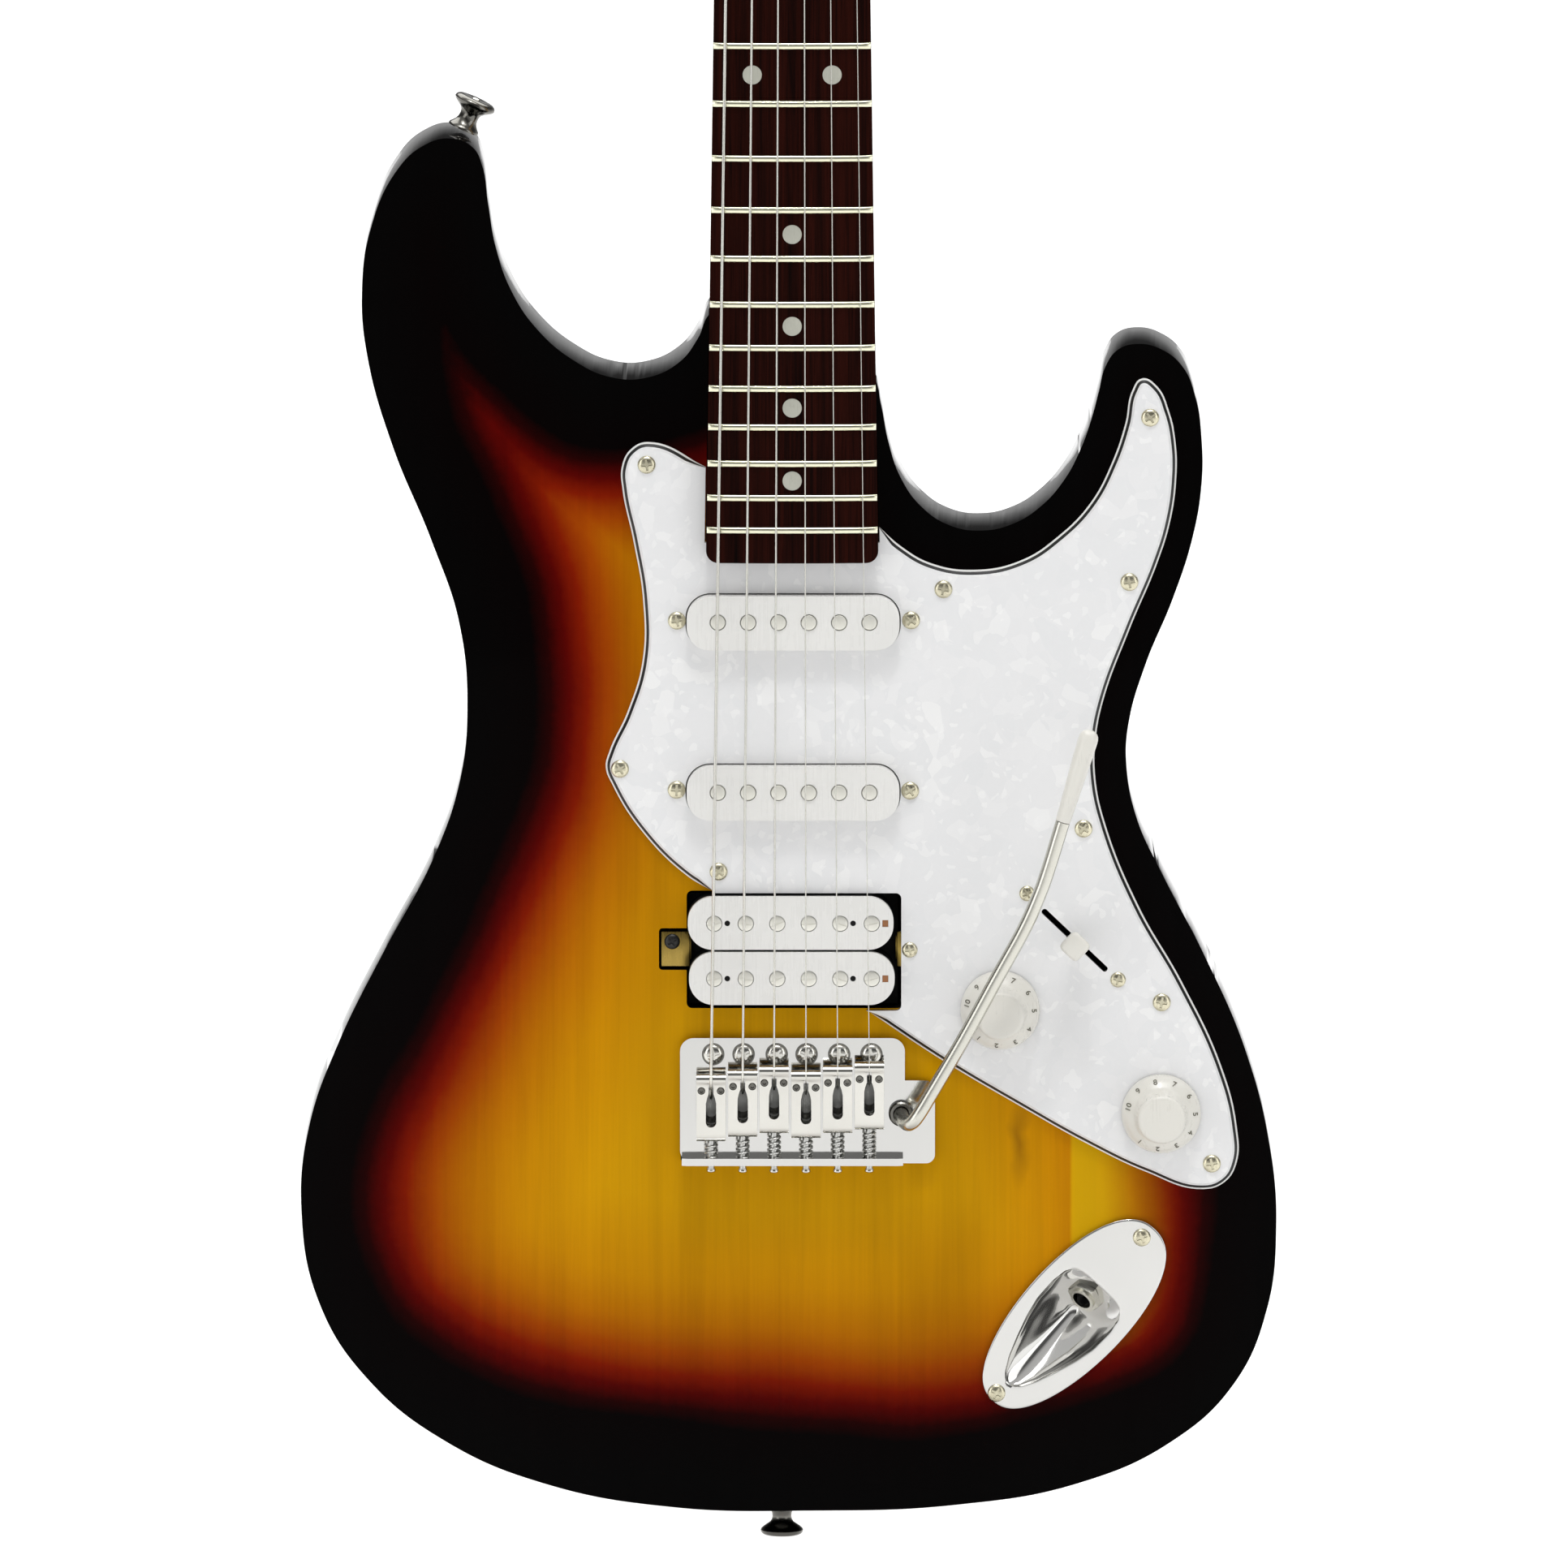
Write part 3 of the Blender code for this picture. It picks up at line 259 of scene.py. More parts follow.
CHROME = finish("chrome", (0.63, 0.625, 0.605), 0.08, 1.0, spread=0.03, wear=0.03, bump=0.03)
NICKEL = finish("nickel", (0.64, 0.63, 0.585), 0.13, 1.0, spread=0.07, wear=0.08, bump=0.06)
SATIN = finish("satin_nickel", (0.6, 0.59, 0.53), 0.24, 1.0, spread=0.05, wear=0.06, bump=0.06)
WORN_NICKEL = finish("warm_nickel", (0.66, 0.62, 0.46), 0.26, 1.0, spread=0.16, wear=0.1, bump=0.1)
STEEL = finish("steel", (0.55, 0.55, 0.53), 0.3, 1.0, spread=0.1, wear=0.1, bump=0.12)
WIRE = finish("string_wire", (0.66, 0.65, 0.6), 0.26, 1.0, spread=0.06, wear=0.05, bump=0.08)
FRET = finish("fret_wire", (0.8, 0.79, 0.6), 0.2, 1.0, spread=0.06, wear=0.08, bump=0.06)
POLE = finish("pole_nickel", (0.8, 0.79, 0.72), 0.45, 1.0, spread=0.04, wear=0.05, bump=0.05)
DARK = finish("black_nickel", (0.16, 0.155, 0.14), 0.2, 1.0, spread=0.2, wear=0.08, bump=0.08)
BLACK_STEEL = finish("black_screw", (0.03, 0.03, 0.028), 0.35, 0.6, spread=0.2, wear=0.1)
BRASS = finish("brass", (0.4, 0.28, 0.07), 0.3, 1.0, spread=0.25, wear=0.12, bump=0.15)
CREAM = finish("cream_plastic", (0.7, 0.685, 0.63), 0.3, 0.0, 0.25, spread=0.03, wear=0.08, bump=0.06)
COVER = finish("cover_plastic", (0.73, 0.725, 0.7), 0.28, 0.0, 0.25, spread=0.03, wear=0.08, bump=0.06)
# near-black for painted shade: the rout walls, the gaps round the humbucker coils, the bobbin holes and the jack's bore
SHADE_BLACK = finish("cavity_paint", (0.006, 0.006, 0.006), 0.6, spread=0.3, wear=0.1, bump=0.3, specular=0.15)
BLACK = finish("black_sheet", (0.012, 0.012, 0.012), 0.42, 0.0, 0.0, spread=0.3, wear=0.12, bump=0.3)
BONE = finish("bone", (0.72, 0.68, 0.56), 0.35, 0.0, 0.1, spread=0.08, wear=0.08)
NUMERAL = finish("numeral_paint", (0.13, 0.125, 0.09), 0.5, spread=0.15)
BROWN = finish("coil_tape", (0.3, 0.12, 0.04), 0.5, spread=0.2)
INLAY = finish("inlay", (0.42, 0.42, 0.36), 0.3, 0.0, 0.3, spread=0.12, grain=700)
PLY_WHITE = finish("ply_white", (0.78, 0.78, 0.76), 0.3, 0.0, 0.1, spread=0.03)
PLY_BLACK = finish("ply_black", (0.01, 0.01, 0.01), 0.35, 0.0, 0.1, spread=0.2)


def make_pearl():
    p = Paint("pearl_sheet", 0.2, 0.0, 0.35, 0.5)
    folded = p.add(
        "ShaderNodeVectorMath",
        {
            0: p.place,
            1: p.add(
                "ShaderNodeVectorMath",
                {0: p.add("ShaderNodeTexNoise", {"Vector": p.place, "Scale": 60.0, "Detail": 3.0}).outputs["Color"],
                 1: (0.012, 0.012, 0.012)},
                operation="MULTIPLY",
            ).outputs[0],
        },
        operation="ADD",
    ).outputs[0]  # fmt: skip
    large = p.cells(170.0, folded, "Color")
    small = p.cells(520.0, folded, "Color")
    edge = p.cells(230.0, folded, "Distance", "DISTANCE_TO_EDGE")
    grey = p.add("ShaderNodeSeparateColor", {"Color": large}).outputs[0]
    fleck = p.add("ShaderNodeSeparateColor", {"Color": small}).outputs[1]
    tone = p.ramp(grey, [(0.0, (0.72, 0.725, 0.73)), (0.72, (0.745, 0.745, 0.748)), (0.9, (0.775, 0.775, 0.775)), (1.0, (0.81, 0.81, 0.805))])
    tone = p.mix(p.span(fleck, 0.0, 0.55, 0.9, 0.97), tone, (0.87, 0.87, 0.86))
    veil = p.noise(34.0, 5, 0.6)
    tone = p.mix(p.span(veil, 0.0, 0.5, 0.3, 0.75), tone, (0.75, 0.75, 0.755))
    tone = p.mix(p.span(edge, 0.1, 0.0, 0.0, 0.1), tone, (0.79, 0.79, 0.79))
    rough = p.sum("ADD", p.span(p.noise(420.0, 4), -0.05, 0.07), 0.2)
    return p.put(tone, rough, p.noise(240.0, 3), 0.04, 0.0001)


PEARL = make_pearl()


def make_burst():
    """Three-colour burst: the rim attribute is each point's distance from the outline."""
    p = Paint("sunburst_lacquer", 0.26, 0.0, 1.0, 0.0, 0.03, 1.08)
    parts = p.add("ShaderNodeSeparateXYZ", {"Vector": p.place})
    x, z = parts.outputs["X"], parts.outputs["Z"]
    rim = p.add("ShaderNodeAttribute", attribute_name="rim").outputs["Fac"]
    wobble = p.span(p.noise(9.0, 2), -5.0, 5.0, 0.25, 0.75)
    fine = p.span(p.noise(320.0, 3), -0.9, 0.9)
    rise = p.sum("MULTIPLY", p.sum("MAXIMUM", p.sum("ADD", z, 0.555), 0.0), 22.0)
    low = p.span(z, 6.0, 0.0, -0.765, -0.7)
    side = p.sum("MULTIPLY", p.span(x, 0.0, 3.5, 0.075, 0.13), p.span(z, 1.0, 0.0, -0.74, -0.7))
    side = p.sum("SUBTRACT", side, low)
    depth = p.sum("SUBTRACT", p.sum("ADD", p.sum("ADD", rim, wobble), fine), rise)
    depth = p.sum("ADD", depth, side)
    share = p.sum("DIVIDE", depth, 100.0, clamp=True)
    tone = p.ramp(
        share,
        [
            (0.0, (0.0012, 0.001, 0.001)),
            (0.2, (0.0014, 0.0006, 0.0006)),
            (0.25, (0.014, 0.0005, 0.0005)),
            (0.31, (0.075, 0.0012, 0.0006)),
            (0.37, (0.175, 0.0085, 0.0008)),
            (0.45, (0.29, 0.048, 0.001)),
            (0.56, (0.4, 0.125, 0.0011)),
            (0.72, (0.49, 0.205, 0.0014)),
            (1.0, (0.55, 0.27, 0.002)),
        ],
    )
    grain = p.noise(1.0, 6, 0.6, p.stretched((150, 150, 5)), 0.6)
    streak = p.noise(1.0, 3, 0.55, p.stretched((900, 900, 16)))
    board = p.noise(1.0, 1, 0.5, p.stretched((22, 22, 0.6), move=(3.1, 0, 0)))
    tone = p.mix(1.0, tone, p.ramp(grain, [(0.28, 0.87), (0.52, 1.0), (0.75, 1.06)]), "MULTIPLY")
    tone = p.mix(1.0, tone, p.ramp(streak, [(0.25, 0.94), (0.6, 1.01)]), "MULTIPLY")
    tone = p.mix(1.0, tone, p.ramp(board, [(0.35, 0.9), (0.65, 1.1)]), "MULTIPLY")
    # a paler board to the right of the glue line, inside the burst
    pale = p.sum("MULTIPLY", p.span(x, 0.0, 1.0, 0.0921, 0.0931), p.span(share, 0.0, 0.62, 0.34, 0.56))
    pale = p.sum("MULTIPLY", pale, p.span(x, 1.0, 0.0, 0.104, 0.135))
    tone = p.mix(pale, tone, (0.62, 0.4, 0.004))
    # a small knot with its dark vein
    kx = p.sum("MULTIPLY", p.sum("ADD", x, -0.0757), 240.0)
    bend = p.sum("MULTIPLY", p.sum("ADD", p.noise(60.0, 3), -0.5), 2.6)
    kx = p.sum("ADD", kx, bend)
    kz = p.sum("MULTIPLY", p.sum("ADD", z, 0.672), 58.0)
    far = p.sum("SQRT", p.sum("ADD", p.sum("MULTIPLY", kx, kx), p.sum("MULTIPLY", kz, kz)))
    tone = p.mix(p.span(far, 0.62, 0.0, 0.1, 1.0), tone, (0.2, 0.085, 0.004))
    rough = p.sum("ADD", p.span(p.noise(38.0, 4), -0.04, 0.05), 0.24)
    height = p.sum("ADD", p.sum("MULTIPLY", streak, 0.4), p.noise(14.0, 2))
    return p.put(tone, rough, height, 0.05, 0.0003)


BURST = make_burst()


def make_wood(name, dark, light, rough, coat, rings=(320, 320, 9), streaks=(1500, 1500, 26), pore=0.35, spec=0.4):
    p = Paint(name, rough, 0.0, coat, spec)
    grain = p.noise(1.0, 5, 0.62, p.stretched(rings), 0.8)
    streak = p.noise(1.0, 3, 0.6, p.stretched(streaks))
    broad = p.noise(1.0, 2, 0.5, p.stretched((60, 60, 3)))
    tone = p.ramp(grain, [(0.3, dark), (0.62, light)])
    tone = p.mix(p.span(broad, 0.0, 0.5, 0.4, 0.7), tone, tuple((a + 2 * b) / 3 for a, b in zip(dark, light)))
    tone = p.mix(p.span(streak, 0.0, pore, 0.5, 0.72), tone, tuple(c * 0.4 for c in dark))
    roughness = p.sum("ADD", p.span(streak, -0.08, 0.12), rough)
    return p.put(tone, roughness, streak, 0.25, 0.00012)


ROSEWOOD = make_wood("rosewood", (0.0012, 0.0008, 0.0007), (0.021, 0.0035, 0.002), 0.45, 0.0, (420, 420, 7), (1900, 1900, 40), 0.6, 0.02)
MAPLE = make_wood("maple", (0.5, 0.31, 0.12), (0.68, 0.46, 0.21), 0.3, 0.3)


# ---- shape helpers ----------------------------------------------------------------------
def new_object(name, data, mat=None, cutter=False):
    obj = bpy.data.objects.new(name, data)
    (cutters if cutter else looks).objects.link(obj)
    if cutter:
        obj.hide_render = True
    if mat:
        data.materials.append(mat)
    return obj


def smooth(mesh, angle=35):
    mesh.shade_smooth()
    mesh.set_sharp_from_angle(angle=math.radians(angle))


def from_bmesh(name, bm, mat=None, cutter=False):
    bmesh.ops.recalc_face_normals(bm, faces=bm.faces)
    mesh = bpy.data.meshes.new(name)
    bm.to_mesh(mesh)
    bm.free()
    smooth(mesh)
    return new_object(name, mesh, mat, cutter)


def box(name, lo, hi, mat=None, cutter=False, turn=None):
    bm = bmesh.new()
    bmesh.ops.create_cube(bm, size=1.0)
    for vert in bm.verts:
        at = Vector(lo[i] + (vert.co[i] + 0.5) * (hi[i] - lo[i]) for i in range(3))
        vert.co = (turn @ at if turn else at) * MM
    return from_bmesh(name, bm, mat, cutter)


def rod(name, start, end, radius, mat=None, cutter=False, sides=32, end_radius=None):
    start, end = Vector(start) * MM, Vector(end) * MM
    run = end - start
    bm = bmesh.new()
    bmesh.ops.create_cone(
        bm,
        cap_ends=True,
        segments=sides,
        radius1=radius * MM,
        radius2=(radius if end_radius is None else end_radius) * MM,
        depth=run.length,
        matrix=Matrix.Translation((start + end) / 2)
        @ run.to_track_quat("Z", "Y").to_matrix().to_4x4(),
    )
    return from_bmesh(name, bm, mat, cutter)


def evaluated_mesh(obj):
    bpy.context.view_layer.update()
    graph = bpy.context.evaluated_depsgraph_get()
    mesh = bpy.data.meshes.new_from_object(obj.evaluated_get(graph))
    mesh.transform(obj.matrix_world)
    return mesh


def realise(obj, angle=35):
    """Turns a curve, or a mesh with modifiers, into a plain mesh object at the origin."""
    mesh = evaluated_mesh(obj)
    bm = bmesh.new()
    bm.from_mesh(mesh)
    bmesh.ops.remove_doubles(bm, verts=bm.verts, dist=1e-6)
    bmesh.ops.recalc_face_normals(bm, faces=bm.faces)
    bm.to_mesh(mesh)
    bm.free()
    hidden, name, old = obj.hide_render, obj.name, obj.data
    cut = [m.object for m in obj.modifiers if m.type == "BOOLEAN"]
    bpy.data.objects.remove(obj)
    for other in cut:
        if other is not None and not other.users_collection[0] == looks and other.users <= 2:
            bpy.data.objects.remove(other)
    made = bpy.data.objects.new(name, mesh)
    (cutters if hidden else looks).objects.link(made)
    made.hide_render = hidden
    made.name = name
    smooth(mesh, angle)
    return made


def sheet(name, outlines, front, back, mat=None, cutter=False, steps=10):
    curve = bpy.data.curves.new(name, "CURVE")
    curve.dimensions, curve.fill_mode = "2D", "BOTH"
    curve.extrude = abs(back - front) / 2 * MM
    curve.resolution_u = steps
    for outline in outlines:
        straight = all(len(point) == 3 for point in outline)
        spline = curve.splines.new("POLY" if straight else "BEZIER")
        knots = spline.points if straight else spline.bezier_points
        knots.add(len(outline) - 1)
        for knot, point in zip(knots, outline):
            if straight:
                knot.co = (point[0] * MM, point[1] * MM, 0, 1)
            else:
                knot.co = (point[0] * MM, point[1] * MM, 0)
                kind = "VECTOR" if len(point) == 3 else "AUTO"
                knot.handle_left_type = knot.handle_right_type = kind
        spline.use_cyclic_u = True
    obj = realise(new_object(name, curve, mat, cutter))
    obj.data.transform(
        Matrix.Translation((0, (front + back) / 2 * MM, 0))
        @ Matrix.Rotation(math.radians(90), 4, "X")
    )
    smooth(obj.data)
    return obj


def traced(outline, steps):
    """The closed polygon, in millimetres, that a Bezier outline draws."""
    curve = bpy.data.curves.new("trace", "CURVE")
    curve.dimensions = "2D"
    curve.fill_mode = "NONE"
    curve.resolution_u = steps
    spline = curve.splines.new("BEZIER")
    spline.bezier_points.add(len(outline) - 1)
    for knot, point in zip(spline.bezier_points, outline):
        knot.co = (point[0] * MM, point[1] * MM, 0)
        kind = "VECTOR" if len(point) == 3 else "AUTO"
        knot.handle_left_type = knot.handle_right_type = kind
    spline.use_cyclic_u = True
    obj = new_object("trace", curve, None, True)
    mesh = evaluated_mesh(obj)
    points = [(v.co.x / MM, v.co.y / MM) for v in mesh.vertices]
    bpy.data.objects.remove(obj)
    clean = []
    for point in points:
        if not clean or math.dist(point, clean[-1]) > 0.02:
            clean.append(point)
    if math.dist(clean[0], clean[-1]) < 0.02:
        clean.pop()
    return clean


def inset(points, by):
    """The polygon moved inwards by a distance, mitred at its corners."""
    count = len(points)
    area = sum(
        points[i][0] * points[(i + 1) % count][1] - points[(i + 1) % count][0] * points[i][1]
        for i in range(count)
    )
    turn = 1 if area > 0 else -1
    out = []
    for i, (x, z) in enumerate(points):
        a, b = points[i - 1], points[(i + 1) % count]
        u = Vector((x - a[0], z - a[1])).normalized()
        v = Vector((b[0] - x, b[1] - z)).normalized()
        nu, nv = Vector((-u.y, u.x)) * turn, Vector((-v.y, v.x)) * turn
        n = nu + nv
        n = n / max(n.dot(nu), 0.35)
        out.append((x + n.x * by, z + n.y * by))
    return out


def corner_box(cx, cz, wide, high, radius, steps=10, turn=0.0):
    outline = []
    for sx, sz, first in ((1, 1, 0), (-1, 1, 90), (-1, -1, 180), (1, -1, 270)):
        for i in range(steps + 1):
            a = math.radians(first + 90 * i / steps)
            x = sx * (wide / 2 - radius) + radius * math.cos(a)
            z = sz * (high / 2 - radius) + radius * math.sin(a)
            t = math.radians(turn)
            outline.append(
                (cx + x * math.cos(t) - z * math.sin(t), cz + x * math.sin(t) + z * math.cos(t), "corner")
            )
    return outline


def ring(cx, cz, radius, steps=40):
    return [
        (cx + radius * math.cos(2 * math.pi * i / steps), cz + radius * math.sin(2 * math.pi * i / steps), "corner")
        for i in range(steps)
    ]


def turned(name, profile, base, axis, mat=None, cutter=False, steps=48):
    """A turned solid: (radius, height) points from the top down the outer side."""
    bm = bmesh.new()
    rows = []
    for r, h in profile:
        if r < 1e-6:
            rows.append([bm.verts.new((0, 0, h * MM))])
        else:
            rows.append(
                [
                    bm.verts.new(
                        (r * MM * math.cos(2 * math.pi * i / steps), r * MM * math.sin(2 * math.pi * i / steps), h * MM)
                    )
                    for i in range(steps)
                ]
            )
    for a, b in zip(rows, rows[1:]):
        for i in range(steps):
            j = (i + 1) % steps
            ring_faces = [a[i % len(a)], a[j % len(a)], b[j % len(b)], b[i % len(b)]]
            corners = list(dict.fromkeys(ring_faces))
            if len(corners) > 2:
                bm.faces.new(corners)
    turn = Matrix.Translation(Vector(base) * MM) @ Vector(axis).to_track_quat("Z", "Y").to_matrix().to_4x4()
    bm.transform(turn)
    return from_bmesh(name, bm, mat, cutter)


def tube(name, points, radius, mat=None, radii=None, detail=4):
    curve = bpy.data.curves.new(name, "CURVE")
    curve.dimensions, curve.bevel_depth = "3D", radius * MM
    curve.bevel_resolution, curve.use_fill_caps = detail, True
    spline = curve.splines.new("POLY")
    spline.points.add(len(points) - 1)
    for i, point in enumerate(points):
        spline.points[i].co = (*(Vector(point) * MM), 1)
        spline.points[i].radius = radii[i] if radii else 1.0
    spline.use_smooth = True
    return realise(new_object(name, curve, mat), 60)


def through(points, steps):
    ends = [Vector(p) for p in points]
    ends = [2 * ends[0] - ends[1], *ends, 2 * ends[-1] - ends[-2]]
    out = []
    for a, b, c, d in zip(ends, ends[1:], ends[2:], ends[3:]):
        for i in range(steps):
            t = i / steps
            out.append(
                0.5 * (2 * b + (c - a) * t + (2 * a - 5 * b + 4 * c - d) * t * t + (3 * b - a - 3 * c + d) * t * t * t)
            )
    return [*out, ends[-2]]


def coil(start, end, radius, turns, per_turn=18):
    """Points of a helix from start to end, all in millimetres."""
    start, end = Vector(start), Vector(end)
    run = (end - start).normalized()
    side = run.orthogonal().normalized()
    other = run.cross(side)
    out = []
    for i in range(int(turns * per_turn) + 1):
        t = i / (turns * per_turn)
        a = 2 * math.pi * turns * t
        out.append(start.lerp(end, t) + side * radius * math.cos(a) + other * radius * math.sin(a))
    return out


def loft(name, sections, mat=None, cutter=False, angle=35):
    bm = bmesh.new()
    rings = [[bm.verts.new(Vector(p) * MM) for p in section] for section in sections]
    for low, high in zip(rings, rings[1:]):
        for i in range(len(low)):
            j = (i + 1) % len(low)
            bm.faces.new((low[i], low[j], high[j], high[i]))
    bm.faces.new(rings[0])
    bm.faces.new(rings[-1])
    obj = from_bmesh(name, bm, mat, cutter)
    smooth(obj.data, angle)
    return obj


def combine(obj, other, operation="DIFFERENCE"):
    mod = obj.modifiers.new(other.name, "BOOLEAN")
    mod.operation, mod.solver, mod.object = operation, "EXACT", other
    return obj


def bevel(obj, width, segments=3, angle=40):
    mod = obj.modifiers.new("edge", "BEVEL")
    mod.width, mod.segments = width * MM, segments
    mod.limit_method, mod.angle_limit = "ANGLE", math.radians(angle)
    return obj


def joined(name, objs, mat=None, angle=35):
    """One mesh object from several, each with its modifiers applied."""
    bm = bmesh.new()
    for obj in objs:
        mesh = evaluated_mesh(obj)
        bm.from_mesh(mesh)
        bpy.data.meshes.remove(mesh)
    for obj in objs:
        cut = [m.object for m in obj.modifiers if m.type == "BOOLEAN"]
        bpy.data.objects.remove(obj)
        for other in cut:
            bpy.data.objects.remove(other)
    mesh = bpy.data.meshes.new(name)
    bm.to_mesh(mesh)
    bm.free()
    mesh.materials.clear()
    if mat:
        mesh.materials.append(mat)
    smooth(mesh, angle)
    return new_object(name, mesh)


def placed(mesh, name, places, mat):
    """Copies of one mesh, made round the Z axis at the origin, at (point, axis, turn)."""
    bm = bmesh.new()
    for point, axis, angle in places:
        copy = mesh.copy()
        copy.transform(
            Matrix.Translation(Vector(point) * MM)
            @ Vector(axis).to_track_quat("Z", "Y").to_matrix().to_4x4()
            @ Matrix.Rotation(math.radians(angle), 4, "Z")
        )
        bm.from_mesh(copy)
        bpy.data.meshes.remove(copy)
    made = bpy.data.meshes.new(name)
    bm.to_mesh(made)
    bm.free()
    made.materials.clear()
    made.materials.append(mat)
    smooth(made, 28)
    return new_object(name, made)


def screw_mesh(radius, high, kind="cross", deep=0.8):
    """A domed screw head with its recess, centred on the origin, top towards +Z."""
    profile = [(0, high)]
    for share, lift in ((0.25, 0.985), (0.5, 0.9), (0.7, 0.74), (0.86, 0.5), (0.95, 0.26), (1.0, 0.04)):
        profile.append((radius * share, high * lift))
    profile += [(radius, -0.25), (radius * 0.8, -0.9), (0, -0.9)]
    head = turned("head", profile, (0, 0, 0), (0, 0, 1), steps=32)
    if kind == "cross":
        for lo, hi in (((-0.62, -0.13), (0.62, 0.13)), ((-0.13, -0.62), (0.13, 0.62))):
            combine(head, box("recess", (lo[0] * radius, lo[1] * radius, high - deep), (hi[0] * radius, hi[1] * radius, high + 1), cutter=True))  # fmt: skip
        combine(head, box("recess", (-0.26 * radius, -0.26 * radius, high - deep), (0.26 * radius, 0.26 * radius, high + 1), cutter=True, turn=Matrix.Rotation(math.radians(45), 4, "Z")))  # fmt: skip
    elif kind == "slot":
        combine(head, box("recess", (-1.1 * radius, -0.11 * radius, high - deep), (1.1 * radius, 0.11 * radius, high + 1), cutter=True))  # fmt: skip
    cut = [m.object for m in head.modifiers]
    mesh = evaluated_mesh(head)
    bpy.data.objects.remove(head)
    for other in cut:
        bpy.data.objects.remove(other)
    return mesh


def keep(obj, body, *nodes, slot=None, angle=None):
    """Gives a finished piece to a body, in place of the CAD nodes it stands for."""
    if obj.modifiers or obj.type != "MESH":
        obj = realise(obj, angle or 35)
    if nodes:
        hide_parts(*nodes)
    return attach(obj, body)


def hollowed_normals(mesh):
    """Keeps the flat front and back truly flat where they run into the rounded edge."""
    count = len(mesh.loops)
    normals = np.zeros(count * 3, np.float32)
    mesh.corner_normals.foreach_get("vector", normals)
    normals = normals.reshape(-1, 3)
    verts = np.zeros(count, np.int32)
    mesh.loops.foreach_get("vertex_index", verts)
    faces = np.zeros(len(mesh.polygons) * 3, np.float32)
    mesh.polygons.foreach_get("normal", faces)
    faces = faces.reshape(-1, 3)
    starts = np.zeros(len(mesh.polygons), np.int32)
    totals = np.zeros(len(mesh.polygons), np.int32)
    mesh.polygons.foreach_get("loop_start", starts)
    mesh.polygons.foreach_get("loop_total", totals)
    owner = np.repeat(np.arange(len(mesh.polygons)), totals)
    for sign in (-1.0, 1.0):
        flat = faces[:, 1] * sign > 0.99999
        touched = np.zeros(len(mesh.vertices), bool)
        touched[verts[flat[owner]]] = True
        pick = touched[verts] & (normals[:, 1] * sign > 0.6)
        normals[pick] = (0.0, sign, 0.0)
    mesh.normals_split_custom_set([tuple(map(float, n)) for n in normals])


CROSS_BIG = screw_mesh(3.0, 1.15)
CROSS_MID = screw_mesh(2.6, 1.0)
CROSS_SMALL = screw_mesh(1.6, 0.7, deep=0.5)
SLOT_POLE = screw_mesh(2.45, 0.22, "slot", 0.3)
CROSS_PLATE = screw_mesh(3.25, 1.2)
FRONT = (0, -1, 0)


# ---- body -----------------------------------------------------------------------------------
BODY_OUTLINE = [
    # heel of the neck joint, bass to treble
    (-27.4, -395.2), (-22.5, -392.6), (-14.0, -395.2), (10.0, -405.5), (21.0, -410.5),
    (27.0, -416.0), (29.4, -425.0), (32.0, -438.2), (36.0, -449.8), (43.0, -459.6),
    # treble cutaway and horn
    (52.5, -465.8), (63.0, -467.4), (73.0, -465.2), (82.0, -459.6), (90.0, -450.6),
    (95.5, -440.2), (99.3, -429.4), (101.4, -421.4), (103.8, -412.4), (108.0, -406.9),
    (114.6, -405.1), (122.0, -406.8), (129.2, -412.6), (133.6, -423.0), (135.6, -437.0),
    (135.6, -452.0), (132.6, -470.0), (126.2, -490.0), (117.0, -512.5),
    # treble waist and lower bout
    (111.6, -531.5), (110.8, -545.5), (114.4, -564.0), (122.6, -582.0), (136.4, -608.8),
    (150.2, -640.6), (158.6, -673.5), (160.8, -701.0), (157.6, -729.0), (146.6, -753.8),
    (126.0, -773.0), (95.0, -787.0), (55.0, -794.2), (5.0, -796.2), (-40.0, -795.0),
    (-82.0, -787.2), (-115.0, -773.0), (-141.0, -752.0), (-157.0, -726.6),
    # bass lower bout, waist and horn
    (-163.0, -695.0), (-160.4, -667.0), (-150.6, -639.0), (-135.6, -608.5),
    (-119.0, -577.0), (-110.4, -552.0), (-107.7, -528.0), (-110.4, -498.0),
    (-119.4, -471.0), (-132.4, -439.0), (-140.6, -409.5), (-142.4, -388.0),
    (-139.4, -366.4), (-130.6, -347.0), (-122.0, -339.0), (-113.0, -336.6),
    (-105.6, -339.6), (-102.4, -346.0), (-100.6, -358.0), (-98.0, -373.0),
    (-92.8, -387.6), (-84.4, -400.2), (-72.0, -410.8), (-60.0, -416.2),
    (-48.4, -416.4), (-37.4, -411.2), (-31.2, -403.2),
]

rim_line = np.array(traced(BODY_OUTLINE, 14))
body = sheet("body_wood", [[(x, z, "corner") for x, z in rim_line]], 0.0, BODY_DEPTH, BURST)
bevel(body, BODY_ROUND, 6, 50)
bm = bmesh.new()
bmesh.ops.create_uvsphere(bm, u_segments=120, v_segments=72, radius=300 * MM)
for vert in bm.verts:
    vert.co.z *= 400 / 300
    vert.co += Vector((-175, 322, -535)) * MM
combine(body, from_bmesh("rib_hollow", bm, cutter=True))
pocket = [
    (-half_width(-380) - GAP, -380, "corner"),
    (half_width(-380) + GAP, -380, "corner"),
    (half_width(HEEL_END) + GAP, HEEL_END - GAP, "corner"),
    (-half_width(HEEL_END) - GAP, HEEL_END - GAP, "corner"),
]
combine(body, sheet("neck_pocket", [pocket], -8, POCKET_FLOOR, cutter=True))
for label, z in zip(("neck", "middle"), PICKUP_Z):
    combine(body, box(f"{label}_rout", (-45, -5, z - 12), (45, 17, z + 12), cutter=True))
